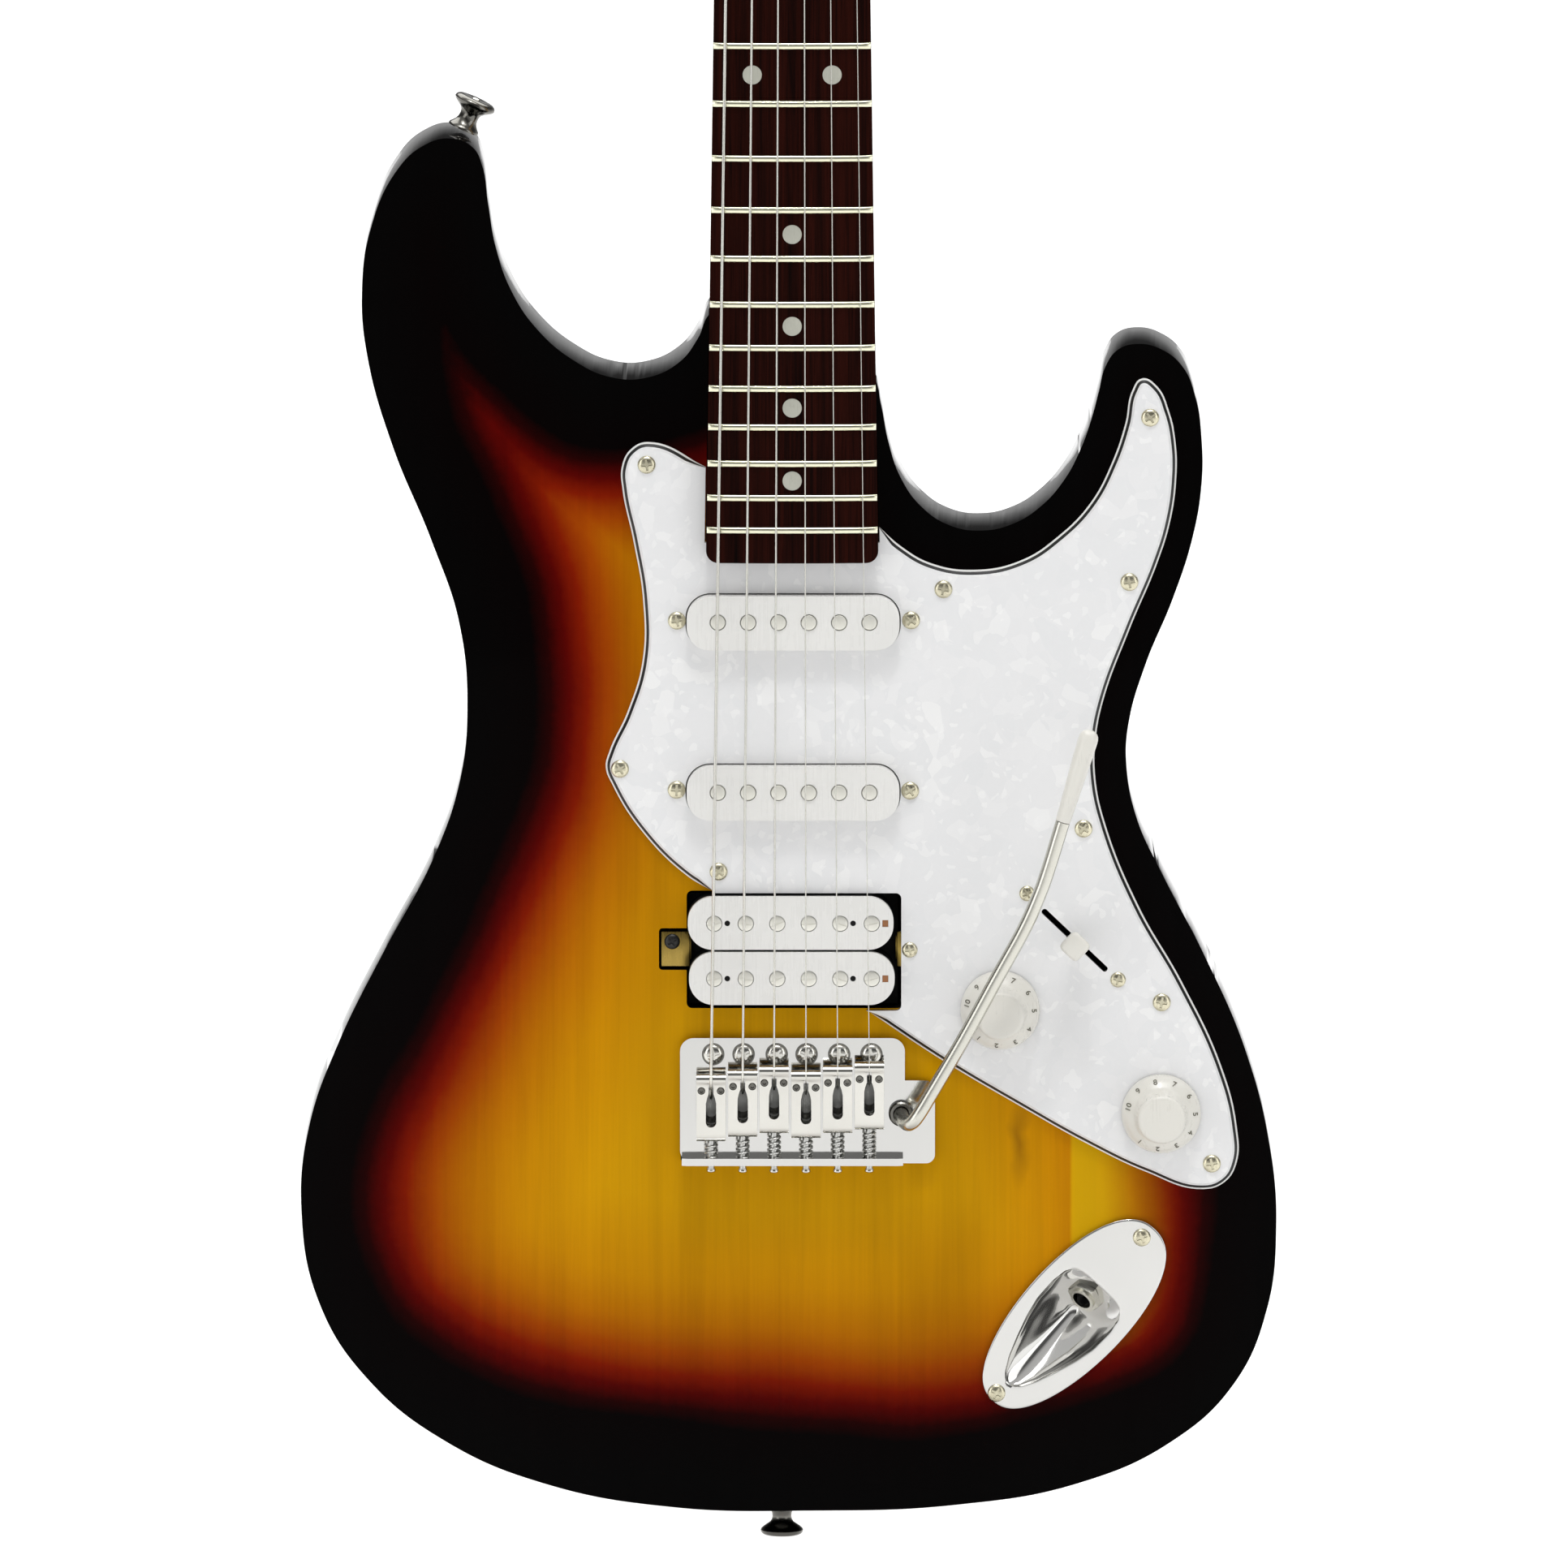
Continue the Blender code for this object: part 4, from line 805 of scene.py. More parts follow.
combine(
    body,
    sheet("humbucker_rout", [corner_box(0.9, -607.6, 71.8, 39.4, 1.8, 4)], -5, 19, cutter=True),
)
combine(body, sheet("ear_rout", [corner_box(-39.0, -607.5, 10.4, 14.0, 1.2, 4)], -5, 13, cutter=True))
combine(body, box("right_ear_rout", (34.0, -5, -614.6), (46.0, 13, -600.6), cutter=True))
control = [
    (52, -590), (66, -580), (92, -579), (104, -587), (119, -612), (134, -645),
    (139, -664), (134, -676), (120, -677), (98, -666), (72, -652), (54, -640),
]  # fmt: skip

combine(body, sheet("control_rout", [[(*p, "corner") for p in control]], -5, 34, cutter=True))
combine(body, box("block_slot", (-37, -5, -678.3), (37, 30, -646.5), cutter=True))
combine(body, box("arm_slot", (36, -5.3, -678.6), (45, 29.6, -652.2), cutter=True))
combine(body, sheet("spring_rout", [corner_box(0, -625, 98, 132, 8)], 21, BODY_DEPTH + 5, cutter=True))
jack_turn = Matrix.Translation(Vector((JACK[0], 0, JACK[1]))) @ Matrix.Rotation(math.radians(JACK_TURN), 4, "Y")
DISH_EDGE = (
    (13.0, 0.0), (13.0, 5.0), (12.7, 8.2), (11.6, 10.6), (9.0, 12.2), (4.0, 13.0), (-4.0, 12.8), (-11.0, 11.2),
    (-18.0, 8.9), (-25.0, 6.2), (-29.5, 3.7), (-31.4, 1.8), (-32.0, 0.0),
)  # fmt: skip
dish_loop = [*DISH_EDGE, *[(u, -v) for u, v in DISH_EDGE[-2:0:-1]]]
under_dish = [(24.0, 8.5), *[(u - 0.6, v * 1.06 + 0.3) for u, v in DISH_EDGE[3:-1]]]
under_dish = [*under_dish, *[(u, -v) for u, v in under_dish[::-1]]]
combine(
    body,
    sheet("jack_rout", [[(*(jack_turn @ Vector((v, 0, u))).xz, "corner") for u, v in under_dish]], -5, 34, cutter=True),
)
body = realise(body, 32)
bm = bmesh.new()
bm.from_mesh(body.data)
bmesh.ops.dissolve_limit(bm, angle_limit=math.radians(0.3), verts=bm.verts, edges=bm.edges)
for axis, first, last in ((0, -160, 160), (2, -792, -340)):
    for step in range(int((last - first) / 5) + 1):
        at = [0.0, 0.0, 0.0]
        at[axis] = (first + 5 * step + 0.37) * MM
        toward = [0.0, 0.0, 0.0]
        toward[axis] = 1.0
        bmesh.ops.bisect_plane(
            bm, geom=bm.verts[:] + bm.edges[:] + bm.faces[:], dist=1e-7, plane_co=at, plane_no=toward
        )
bm.to_mesh(body.data)
bm.free()
smooth(body.data, 32)
hollowed_normals(body.data)
places = np.zeros(len(body.data.vertices) * 3, np.float32)
body.data.vertices.foreach_get("co", places)
places = places.reshape(-1, 3)[:, [0, 2]].astype(float) / MM
nearest = np.full(len(places), 1e9)
for a, b in zip(rim_line, np.roll(rim_line, -1, axis=0)):
    run = b - a
    share = np.clip(((places - a) @ run) / max(run @ run, 1e-9), 0, 1)
    nearest = np.minimum(nearest, np.linalg.norm(places - (a + share[:, None] * run), axis=1))
rim = body.data.attributes.new("rim", "FLOAT", "POINT")
rim.data.foreach_set("value", nearest.astype(np.float32))
body.data.materials.append(SHADE_BLACK)
for face in body.data.polygons:
    # walls and floors of the routs get the near-black material: painted shade down in the routs
    deep = face.center.y / MM
    if 0.05 < deep < 43.9 and face.normal.y < 0.3 and min(nearest[v] for v in face.vertices) > 4.4:
        face.material_index = 1
keep(body, "guitar", "body", slot="sunburst_lacquer")

# ---- neck -------------------------------------------------------------------------------------
NECK_TOP = BOARD_UNDER + GAP


def neck_section(z, half, top, back, squareness):
    out = []
    for i in range(41):
        a = math.pi * i / 40
        c, s = math.cos(a), math.sin(a)
        out.append(
            (
                half * math.copysign(abs(c) ** (2 / squareness), c),
                top + (back - top) * abs(s) ** (2 / squareness),
                z,
            )
        )
    return out


stations = [
    (32, 15.0, 3.0, 10.5, 2.4),
    (18, 19.5, 1.6, 11.5, 2.4),
    (9, 21.0, -0.6, 12.0, 2.4),
    (4.2, half_width(0) - 0.1, NECK_TOP, 12.0, 2.3),
    (0, half_width(0) - 0.1, NECK_TOP, 11.6, 2.2),
]
for z, back, squareness in (
    (-60, 12.0, 2.2), (-140, 12.5, 2.2), (-220, 13.0, 2.2), (-300, 13.5, 2.2),
    (-350, 13.9, 2.3), (-372, 14.5, 2.8), (-386, 15.3, 4.5),
    (-393, POCKET_FLOOR - GAP, 8.0), (HEEL_END, POCKET_FLOOR - GAP, 9.0),
):  # fmt: skip
    stations.append((z, half_width(z) - 0.1, NECK_TOP, back, squareness))
neck = loft("neck_wood", [neck_section(*s) for s in stations], MAPLE)
POSTS = []
for i in range(6):
    z = POST_FIRST + POST_STEP * i
    POSTS.append((string_x(i, z) - POST_WAIST - GAP - STRING_R[i], z))
EDGE = Vector((POSTS[5][0] - POSTS[0][0], 0, POSTS[5][1] - POSTS[0][1])).normalized()
OUT = Vector((-EDGE.z, 0, EDGE.x))
edge_low = Vector((POSTS[0][0], 0, POSTS[0][1])) + OUT * 13.0 - EDGE * 8
edge_high = Vector((POSTS[5][0], 0, POSTS[5][1])) + OUT * 13.0 + EDGE * 10
head_outline = [
    (-21.4, -1.0), (-22.0, 6.0), (-25.2, 14.0), (-31.4, 20.5),
    (edge_low.x, edge_low.z, "corner"), (edge_high.x, edge_high.z, "corner"),
    (5.5, 187.0), (14.0, 191.0), (23.0, 187.5), (28.5, 177.0), (31.0, 160.0),
    (31.5, 130.0), (30.6, 95.0), (28.4, 60.0), (25.2, 30.0), (22.6, 12.0),
    (21.4, -1.0),
]  # fmt: skip

head = sheet("headstock_blank", [head_outline], 0.0, HEAD_BACK, cutter=True, steps=12)
bevel(head, 1.6, 4, 50)
combine(neck, head, "UNION")
for i, (x, z) in enumerate(POSTS):
    combine(neck, rod(f"post_hole_{i + 1}", (x, -4, z), (x, 18, z), 5.1, cutter=True))
keep(neck, "guitar", "neck", slot="maple")

# ---- fingerboard, frets, inlays ------------------------------------------------------------------
end_half = half_width(BOARD_END)
board_outline = [(half_width(0), -GAP, "corner"), (-half_width(0), -GAP, "corner")]
for first, side in ((180, -1), (270, 1)):
    for i in range(9):
        a = math.radians(first + 90 * i / 8)
        board_outline.append(
            (side * (end_half - 4) + 4 * math.cos(a), BOARD_END + 4 + 4 * math.sin(a), "corner")
        )
board = sheet("fingerboard_wood", [board_outline], BOARD_TOP - 1, BOARD_UNDER, ROSEWOOD)
combine(
    board,
    rod("board_arch", (0, BOARD_TOP + BOARD_RADIUS, 10), (0, BOARD_TOP + BOARD_RADIUS, BOARD_END - 10), BOARD_RADIUS, cutter=True, sides=720),
    "INTERSECT",
)  # fmt: skip
bevel(board, 0.5, 3, 55)
keep(board, "guitar", "fingerboard", slot="rosewood")

frets = []
for number in range(1, FRETS + 1):
    z = fret_z(number)
    half = half_width(z) - 0.1
    sections = []
    count = 26
    for k in range(count + 1):
        x = -half + 2 * half * k / count
        near = min(half - abs(x), 1.2) / 1.2  # the ends are dressed down to the board's edge
        lift = FRET_HIGH * (0.35 + 0.65 * math.sqrt(max(0.0, 1 - (1 - near) ** 2)))
        base = BOARD_TOP + crown(x)
        ring_points = []
        for m in range(11):
            a = math.pi * m / 10
            ring_points.append((x, base - lift * math.sin(a) ** 0.8, z + FRET_WIDE / 2 * math.cos(a)))
        ring_points += [(x, base + 0.8, z - FRET_WIDE / 2), (x, base + 0.8, z + FRET_WIDE / 2)]
        sections.append(ring_points)
    frets.append(loft(f"fret_{number}", sections, None, angle=50))
keep(joined("frets", frets, FRET, 50), "guitar", slot="nickel")

dots = [(0.0, (fret_z(n) + fret_z(n - 1)) / 2) for n in (3, 5, 7, 9, 15, 17, 19, 21)]
middle = (fret_z(12) + fret_z(11)) / 2
dots += [(-13.2, middle), (13.2, middle)]
discs = []
for k, (x, z) in enumerate(dots):
    y = BOARD_TOP + crown(x)
    tilt = (x / BOARD_RADIUS, -1, 0)
    discs.append(
        turned(f"dot_{k}", [(0, 0.1), (2.0, 0.09), (2.9, 0.06), (3.15, 0.02), (3.2, -0.06), (3.2, -1.2), (0, -1.2)], (x, y, z), tilt)
    )  # fmt: skip
keep(joined("fret_markers", discs, INLAY), "guitar", slot="pearl_sheet")

nut = box("nut_bone", (-NUT_HALF, -11.6, 0.0), (NUT_HALF, BOARD_UNDER, 3.2), BONE)
combine(
    nut,
    rod("nut_arch", (0, -11.6 + BOARD_RADIUS, 8), (0, -11.6 + BOARD_RADIUS, -5), BOARD_RADIUS, cutter=True, sides=720),
    "INTERSECT",
)  # fmt: skip
for i, x in enumerate(STRING_NUT_X):
    r = STRING_R[i] + GAP
    y = STRING_NUT_Y + crown(x) + r
    combine(nut, box(f"nut_slot_{i + 1}", (x - r, -14, -2), (x + r, y, 6), cutter=True))
bevel(nut, 0.35, 3, 50)
keep(nut, "guitar", "nut", slot="bone")

# ---- back plates --------------------------------------------------------------------------------
plate = sheet("heel_plate", [corner_box(0, -444, 50, 46, 5, 12)], BODY_DEPTH + GAP, BODY_DEPTH + GAP + 1.6, CHROME)
bevel(plate, 0.5, 3, 50)
keep(plate, "guitar", "neck_plate", slot="chrome")
BACK = (0, 1, 0)
keep(
    placed(CROSS_BIG, "heel_plate_screws",
           [((sx * 19.5, BODY_DEPTH + GAP + 1.6, -444 + sz * 17.5), BACK, 20 + 31 * k)
            for k, (sx, sz) in enumerate(((-1, -1), (1, -1), (-1, 1), (1, 1)))], CHROME),
    "guitar", slot="chrome",
)  # fmt: skip
cover = sheet(
    "spring_cover",
    [corner_box(0, -625, 116, 152, 9, 14), corner_box(0, -663.5, 72, 17, 5, 10)],
    BODY_DEPTH + GAP, BODY_DEPTH + GAP + 2.0, BLACK,
)  # fmt: skip
bevel(cover, 0.6, 3, 50)
keep(cover, "guitar", "back_cover", slot="black_plastic")
keep(
    placed(CROSS_MID, "spring_cover_screws",
           [((sx * 52.5, BODY_DEPTH + GAP + 2.0, z), BACK, 13 + 47 * k)
            for k, (sx, z) in enumerate(((-1, -555.5), (1, -555.5), (-1, -625), (1, -625), (-1, -694.5), (1, -694.5)))], CHROME),
    "guitar", slot="chrome",
)  # fmt: skip

# ---- pickguard: three plies with a bevelled edge ----------------------------------------------------
edge_top = half_width(-446) + 0.6
edge_low_x = half_width(HEEL_END) + 0.6
guard_outline = [
    (-47.6, -437.8), (-edge_top, -446.1, "corner"),
    (-edge_low_x, HEEL_END - 0.7, "corner"), (edge_low_x, HEEL_END - 0.7, "corner"),
    (edge_top + 0.2, -466.2, "corner"),
    (36.0, -472.6), (46.0, -478.3), (60.7, -480.5), (75.9, -477.3), (88.0, -469.4),
    (98.9, -458.0), (106.0, -444.4), (110.3, -431.6), (112.6, -420.6), (115.8, -416.6),
    (120.6, -419.0), (124.8, -427.6), (127.0, -438.4), (127.2, -450.0),
    (125.2, -464.4), (121.2, -477.6), (111.8, -500.4), (103.0, -524.6),
    (100.6, -537.4), (100.5, -549.9), (103.6, -564.8), (114.9, -593.0),
    (129.4, -618.6), (142.4, -646.6), (147.6, -667.0), (147.6, -679.0),
    (143.6, -685.6), (136.0, -688.0), (117.5, -682.2), (98.2, -672.9), (74.2, -659.3),
    (49.9, -644.8), (24.6, -627.8, "corner"), (36.2, -627.8, "corner"),
    (36.2, -588.4, "corner"), (-25.6, -588.4, "corner"), (-35.0, -582.8),
    (-50.4, -567.2), (-59.6, -552.4), (-61.8, -546.4), (-60.6, -541.2),
    (-54.6, -528.0), (-49.6, -511.0), (-49.4, -490.6), (-52.6, -470.8),
    (-56.2, -453.6), (-56.4, -446.0), (-53.4, -440.2),
]  # fmt: skip

notch = []
for x, z, *kind in guard_outline:
    if (x, z) in ((36.2, -627.8), (36.2, -588.4)):
        first, cz = (270, z + 1.8) if z < -600 else (0, z - 1.8)
        for i in range(7):
            a = math.radians(first + 15 * i)
            notch.append((x - 1.8 + 1.8 * math.cos(a), cz + 1.8 * math.sin(a), "corner"))
    else:
        notch.append((x, z, *kind))
guard_line = traced(notch, 12)
slot_turn = math.degrees(math.atan2(SWITCH_DIR[1], SWITCH_DIR[0]))
guard_holes = [corner_box(0.3, z, 71.3, 18.9, 8.3, 12) for z in PICKUP_Z]
guard_holes += [
    corner_box(*SWITCH, 29.5, 2.0, 0.9, 5, slot_turn),
    ring(*VOLUME, 4.4, 40),
    ring(*TONE, 4.4, 40),
]


def sloped(by):
    """The guard's outline moved inwards, except round the pickup opening, which is cut square."""
    out = []
    for (x, z), (ix, iz) in zip(guard_line, inset(guard_line, by)):
        far = min(
            math.hypot(x - a, z - b)
            for a, b in ((24.6, -627.8), (-25.6, -588.4), (-edge_top, -446.1), (edge_top + 0.2, -466.2))
        )
        share = min(1.0, far / 7.0)
        if -26.0 < x < 36.5 and -628.0 < z < -588.2 or abs(x) < edge_low_x + 0.3 and z > HEEL_END - 1.0:
            share = 0.0
        out.append((x + (ix - x) * share, z + (iz - z) * share))
    return out


def ply(name, front, back, front_by, back_by, mat):
    """One layer; its outer wall slopes from back_by to front_by inside the outline."""
    low, high = sloped(back_by), sloped(front_by)
    obj = sheet(name, [[(x, z, "corner") for x, z in low], *guard_holes], front, back, mat)
    table = {(round(x, 2), round(z, 2)): top for (x, z), top in zip(low, high)}
    for vert in obj.data.vertices:
        if abs(vert.co.y / MM - front) > 0.01:
            continue
        x, z = vert.co.x / MM, vert.co.z / MM
        for dx in (0, -0.01, 0.01):
            for dz in (0, -0.01, 0.01):
                top = table.get((round(x + dx, 2), round(z + dz, 2)))
                if top:
                    vert.co.x, vert.co.z = top[0] * MM, top[1] * MM
                    break
            else:
                continue
            break
    smooth(obj.data, 25)
    return obj


plies = [
    ply("guard_base_ply", -0.95, GUARD_BACK, 0.55, 0.0, PLY_WHITE),
    ply("guard_black_ply", -1.85, -0.95, 1.45, 0.55, PLY_BLACK),
    ply("guard_pearl_ply", GUARD_FRONT, -1.85, 2.2, 1.45, PEARL),
]
keep(plies[2], "guitar", "pickguard", slot="pearl_sheet")
keep(plies[1], "guitar", slot="black_plastic")
keep(plies[0], "guitar", slot="cream_plastic")
guard_screws = [
    (-48.2, -445.1), (-57.1, -546.8), (-24.4, -581.2), (50.1, -486.7), (111.7, -484.3),
    (118.5, -429.4), (96.6, -566.8), (122.6, -625.0), (139.3, -679.1),
]  # fmt: skip
face = GUARD_FRONT - 0.02
spots = [((x, face, z), FRONT, 23 * k + 8) for k, (x, z) in enumerate(guard_screws)]
keep(placed(CROSS_BIG, "guard_screws", spots, WORN_NICKEL), "guitar", slot="nickel")
spots = [
    ((x, face, z), FRONT, 37 * k + 14)
    for k, (x, z) in enumerate(((-38.2, -497.2), (39.4, -497.1), (-38.3, -553.8), (39.1, -554.1)))
]
keep(placed(CROSS_BIG, "pickup_screws", spots, WORN_NICKEL), "guitar", slot="nickel")
spots = [((77.9, face, -588.5), FRONT, 30), ((108.1, face, -617.4), FRONT, 71)]
keep(placed(CROSS_MID, "selector_screws", spots, WORN_NICKEL), "guitar", slot="nickel")
keep(
    placed(CROSS_MID, "coil_mount_screws", [((39.0, face, -607.4), FRONT, 12)], WORN_NICKEL),
    "guitar", slot="nickel",
)  # fmt: skip

# ---- pickups ------------------------------------------------------------------------------------------
for label, z in zip(("neck", "middle"), PICKUP_Z):
    shell = sheet(f"{label}_cover", [corner_box(0.3, z, PICKUP_LONG, PICKUP_HIGH, 7.9, 14)], PICKUP_TOP, 12, COVER)
    bevel(shell, 1.3, 5, 60)
    for i in range(6):
        x = 0.5 + POLE_PITCH * (i - 2.5)
        combine(shell, rod(f"{label}_bore_{i}", (x, PICKUP_TOP - 2, z + 0.3), (x, PICKUP_TOP + 1.2, z + 0.3), 2.75, cutter=True))  # fmt: skip
    keep(shell, "guitar", f"{label}_pickup", slot="cream_plastic")
    poles = []
    for i in range(6):
        x = 0.5 + POLE_PITCH * (i - 2.5)
        lift = (0.25, 0.45, 0.6, 0.75, 0.45, 0.3)[i]
        poles.append(
            turned(f"{label}_pole_{i}", [(0, lift), (1.9, lift), (2.3, lift - 0.06), (2.45, lift - 0.25), (2.45, -1.15), (0, -1.15)],
                   (x, PICKUP_TOP, z + 0.3), FRONT, steps=36)
        )  # fmt: skip
    keep(joined(f"{label}_poles", poles, POLE), "guitar", slot="nickel")

tapes, pin_hole_shades = [], []
for label, z, cx in zip(("upper", "lower"), COIL_Z, COIL_X):
    bobbin = sheet(
        f"{label}_bobbin", [corner_box(cx, z, COIL_LONG, COIL_HIGH, COIL_HIGH / 2 - 0.6, 14)], COIL_TOP, 6.0, COVER
    )
    bevel(bobbin, 0.9, 4, 60)
    for i in range(6):
        x = 0.3 + 10.45 * (i - 2.5)
        combine(bobbin, rod(f"{label}_seat_{i}", (x, COIL_TOP - 2, z - 0.1), (x, COIL_TOP + 1.2, z - 0.1), 2.7, cutter=True))  # fmt: skip
    for k, x in enumerate((-21.5, 20.2)):
        combine(bobbin, rod(f"{label}_pin_hole_{k}", (x, COIL_TOP - 2, z), (x, COIL_TOP + 1.6, z), 0.95, cutter=True, sides=20))  # fmt: skip
    combine(bobbin, box(f"{label}_tape_hole", (29.9, COIL_TOP - 2, z - 1.2), (31.9, COIL_TOP + 0.8, z + 1.1), cutter=True))  # fmt: skip
    keep(bobbin, "guitar", f"humbucker_{label}_coil", slot="cream_plastic")
    tapes.append(box(f"{label}_tape", (29.95, COIL_TOP + 0.2, z - 1.15), (31.85, COIL_TOP + 1.1, z + 1.05)))
    # black plugs set just inside the bobbins' small holes: painted shade in each hole
    pin_hole_shades += [rod(f"{label}_pin_{k}", (x, COIL_TOP + 0.25, z), (x, COIL_TOP + 1.7, z), 0.9, sides=20) for k, x in enumerate((-21.5, 20.2))]
    spots = [((0.3 + 10.45 * (i - 2.5), COIL_TOP + 0.05, z - 0.1), FRONT, (12, -9, 24, 3, -18, 15)[i]) for i in range(6)]
    keep(placed(SLOT_POLE, f"{label}_coil_poles", spots, POLE), "guitar", slot="nickel")
keep(joined("coil_tapes", tapes, BROWN), "guitar")
keep(joined("coil_pins", pin_hole_shades, SHADE_BLACK), "guitar", slot="black_plastic")

# the baseplate takes the near-black material: painted shade in the gaps round the coils
base = box("coil_baseplate", (-34.4, 6.3, -626.7), (35.2, 7.9, -589.5), SHADE_BLACK)
ears = []
for side, wall, tip in ((-1, -34.4, -43.4), (1, 35.2, 44.6)):
    lo, hi = sorted((wall, wall - side * 0.9))
    ear = box(f"ear_{side}", (lo, 1.4, -611.0), (hi, 6.2, -603.4))
    lo, hi = sorted((wall - side * 0.4, tip))
    combine(ear, box(f"ear_flat_{side}", (lo, 0.9, -613.4), (hi, 2.1, -601.8), cutter=True), "UNION")
    bevel(ear, 0.25, 2, 50)
    ears.append(ear)
bevel(base, 0.25, 2, 50)
keep(base, "guitar", "humbucker_baseplate", slot="black_plastic")
keep(joined("mounting_ears", ears, BRASS), "guitar", slot="brass")
# black tape round each coil under its top flange; its black is also painted shade in the gap round each coil
wraps = [
    sheet(f"coil_wrap_{k}", [corner_box(cx, z, COIL_LONG + 0.2, COIL_HIGH + 0.2, COIL_HIGH / 2 - 0.5, 14)], COIL_TOP + 2.6, 5.6)
    for k, (z, cx) in enumerate(zip(COIL_Z, COIL_X))
]
keep(joined("coil_wraps", wraps, SHADE_BLACK), "guitar", slot="black_plastic")
keep(placed(CROSS_MID, "ear_screw", [((-39.8, 0.9, -605.1), FRONT, 33)], BLACK_STEEL), "guitar", slot="black_nickel")
spring = tube("ear_spring", coil((-39.8, 2.3, -605.1), (-39.8, 12.5, -605.1), 2.4, 6), 0.35, STEEL)
keep(spring, "guitar", slot="steel")

# ---- knobs, pots and selector ----------------------------------------------------------------------------
pot_profile = [
    (3.4, 5.4), (4.0, 5.4), (4.0, 4.6), (6.2, 4.6), (6.2, 2.9), (4.0, 2.9),
    (4.0, -0.4), (11.8, -0.4), (12.2, -0.9), (12.2, -8.6), (11.8, -9.0),
    (3.4, -9.0), (3.4, 5.4),
]  # fmt: skip
knob_profile = [
    (0, 15.3), (3.5, 15.35), (6.6, 15.4), (7.2, 15.3), (7.7, 15.0), (7.95, 14.5), (8.05, 13.6),
    (8.25, 11.6), (8.5, 9.4), (8.75, 7.2), (9.0, 6.3), (9.6, 5.7), (10.6, 5.0), (11.8, 3.9),
    (12.6, 2.8), (13.05, 1.8), (13.2, 0.9), (13.2, 0.1), (13.0, 0), (11.6, 0), (9.4, 4.4),
    (3.0, 4.4), (3.0, -8.0), (0, -8.0),
]  # fmt: skip
FACE = Matrix(((1, 0, 0, 0), (0, 0, -1, 0), (0, 1, 0, 0), (0, 0, 0, 1)))  # a sheet's plane, turned to face -Y
for label, (x, z) in (("volume", VOLUME), ("tone", TONE)):
    base = GUARD_FRONT - 0.4
    knob = turned(f"{label}_cap", knob_profile, (x, base, z), FRONT, CREAM, steps=144)
    for vert in knob.data.vertices:
        at = vert.co / MM - Vector((x, base, z))
        far, high = math.hypot(at.x, at.z), -at.y
        if 6.8 < high < 14.7 and 7.0 < far < 9.3:
            # fine flutes round the grip, fading out at both ends
            fade = min(1.0, (high - 6.8) / 1.2, (14.7 - high) / 0.8)
            cut = 1 - 0.022 * fade * (0.5 + 0.5 * math.cos(36 * math.atan2(at.z, at.x)))
            vert.co.x, vert.co.z = (x + at.x * cut) * MM, (z + at.z * cut) * MM
    keep(knob, label, f"{label}_knob", slot="cream_plastic")
    digits = []
    for number in range(1, 11):
        angle = math.radians(166 - 32.8 * (10 - number))
        text = bpy.data.curves.new(f"{label}_digit", "FONT")
        text.body = str(number)
        text.size, text.extrude = 3.0 * MM, 0.22 * MM
        text.align_x = text.align_y = "CENTER"
        text.resolution_u = 4
        digit = bpy.data.objects.new(f"{label}_digit_{number}", text)
        looks.objects.link(digit)
        far, high = 11.15, 4.42
        slope = math.radians(42)
        digit.matrix_world = (
            Matrix.Translation(Vector((x + far * math.cos(angle), base - high, z + far * math.sin(angle))) * MM)
            @ FACE
            @ Matrix.Rotation(angle - math.pi / 2, 4, "Z")
            @ Matrix.Rotation(-slope, 4, "X")
        )
        digits.append(realise(digit))
    keep(joined(f"{label}_numerals", digits, NUMERAL), label, slot="nickel")
    turned(f"{label}_can", pot_profile, (x, 0, z), FRONT, SATIN)
    keep(bpy.data.objects[f"{label}_can"], "guitar", f"{label}_pot", slot="nickel")

switch_frame = Matrix.Translation(Vector((SWITCH[0], 0, SWITCH[1]))) @ Matrix.Rotation(
    math.radians(-slot_turn), 4, "Y"
)
switch = box("selector_frame", (-23.5, 0.1, -5.6), (23.5, 1.5, 5.6), BLACK_STEEL, turn=switch_frame)
combine(switch, box("switch_gate", (-15, -1, -1.3), (15, 3, 1.3), cutter=True, turn=switch_frame))
for side in (-1, 1):
    lo, hi = sorted((side * 4.2, side * 5.4))
    combine(switch, box(f"switch_wall_{side}", (-15, 0.6, lo), (15, 22, hi), cutter=True, turn=switch_frame), "UNION")  # fmt: skip
combine(
    switch,
    rod("switch_axle", switch_frame @ Vector((0, SWITCH_PIVOT_Y, -4.8)), switch_frame @ Vector((0, SWITCH_PIVOT_Y, 4.8)), 1.5, cutter=True),
    "UNION",
)  # fmt: skip
bevel(switch, 0.25, 2, 50)
keep(switch, "guitar", "selector_switch", slot="nickel")

blade = box("selector_blade", (-2.2, -13, -0.6), (2.2, SWITCH_PIVOT_Y + 3.4, 0.6), SATIN, turn=switch_frame)
combine(
    blade,
    rod("lever_eye", switch_frame @ Vector((0, SWITCH_PIVOT_Y, -3)), switch_frame @ Vector((0, SWITCH_PIVOT_Y, 3)), 1.8, cutter=True),
)  # fmt: skip
bevel(blade, 0.2, 2, 50)
keep(blade, "selector", "selector_lever", slot="nickel")
rows = []
for y, w, d in (
    (-7.9, 2.9, 2.4), (-8.0, 3.1, 2.6), (-10.0, 3.25, 2.75), (-12.0, 3.5, 3.0), (-14.5, 3.8, 3.5),
    (-16.6, 4.05, 3.95), (-17.5, 3.95, 3.85), (-18.1, 3.6, 3.5), (-18.35, 3.0, 2.9),
):  # fmt: skip
    row = []
    for k in range(32):
        a = 2 * math.pi * (k + 0.5) / 32
        c, s = math.cos(a), math.sin(a)
        row.append(
            switch_frame @ Vector((w * math.copysign(abs(c) ** 0.42, c), y, d * math.copysign(abs(s) ** 0.42, s)))
        )
    rows.append(row)
keep(loft("selector_tip", rows, CREAM, angle=60), "selector", slot="cream_plastic")


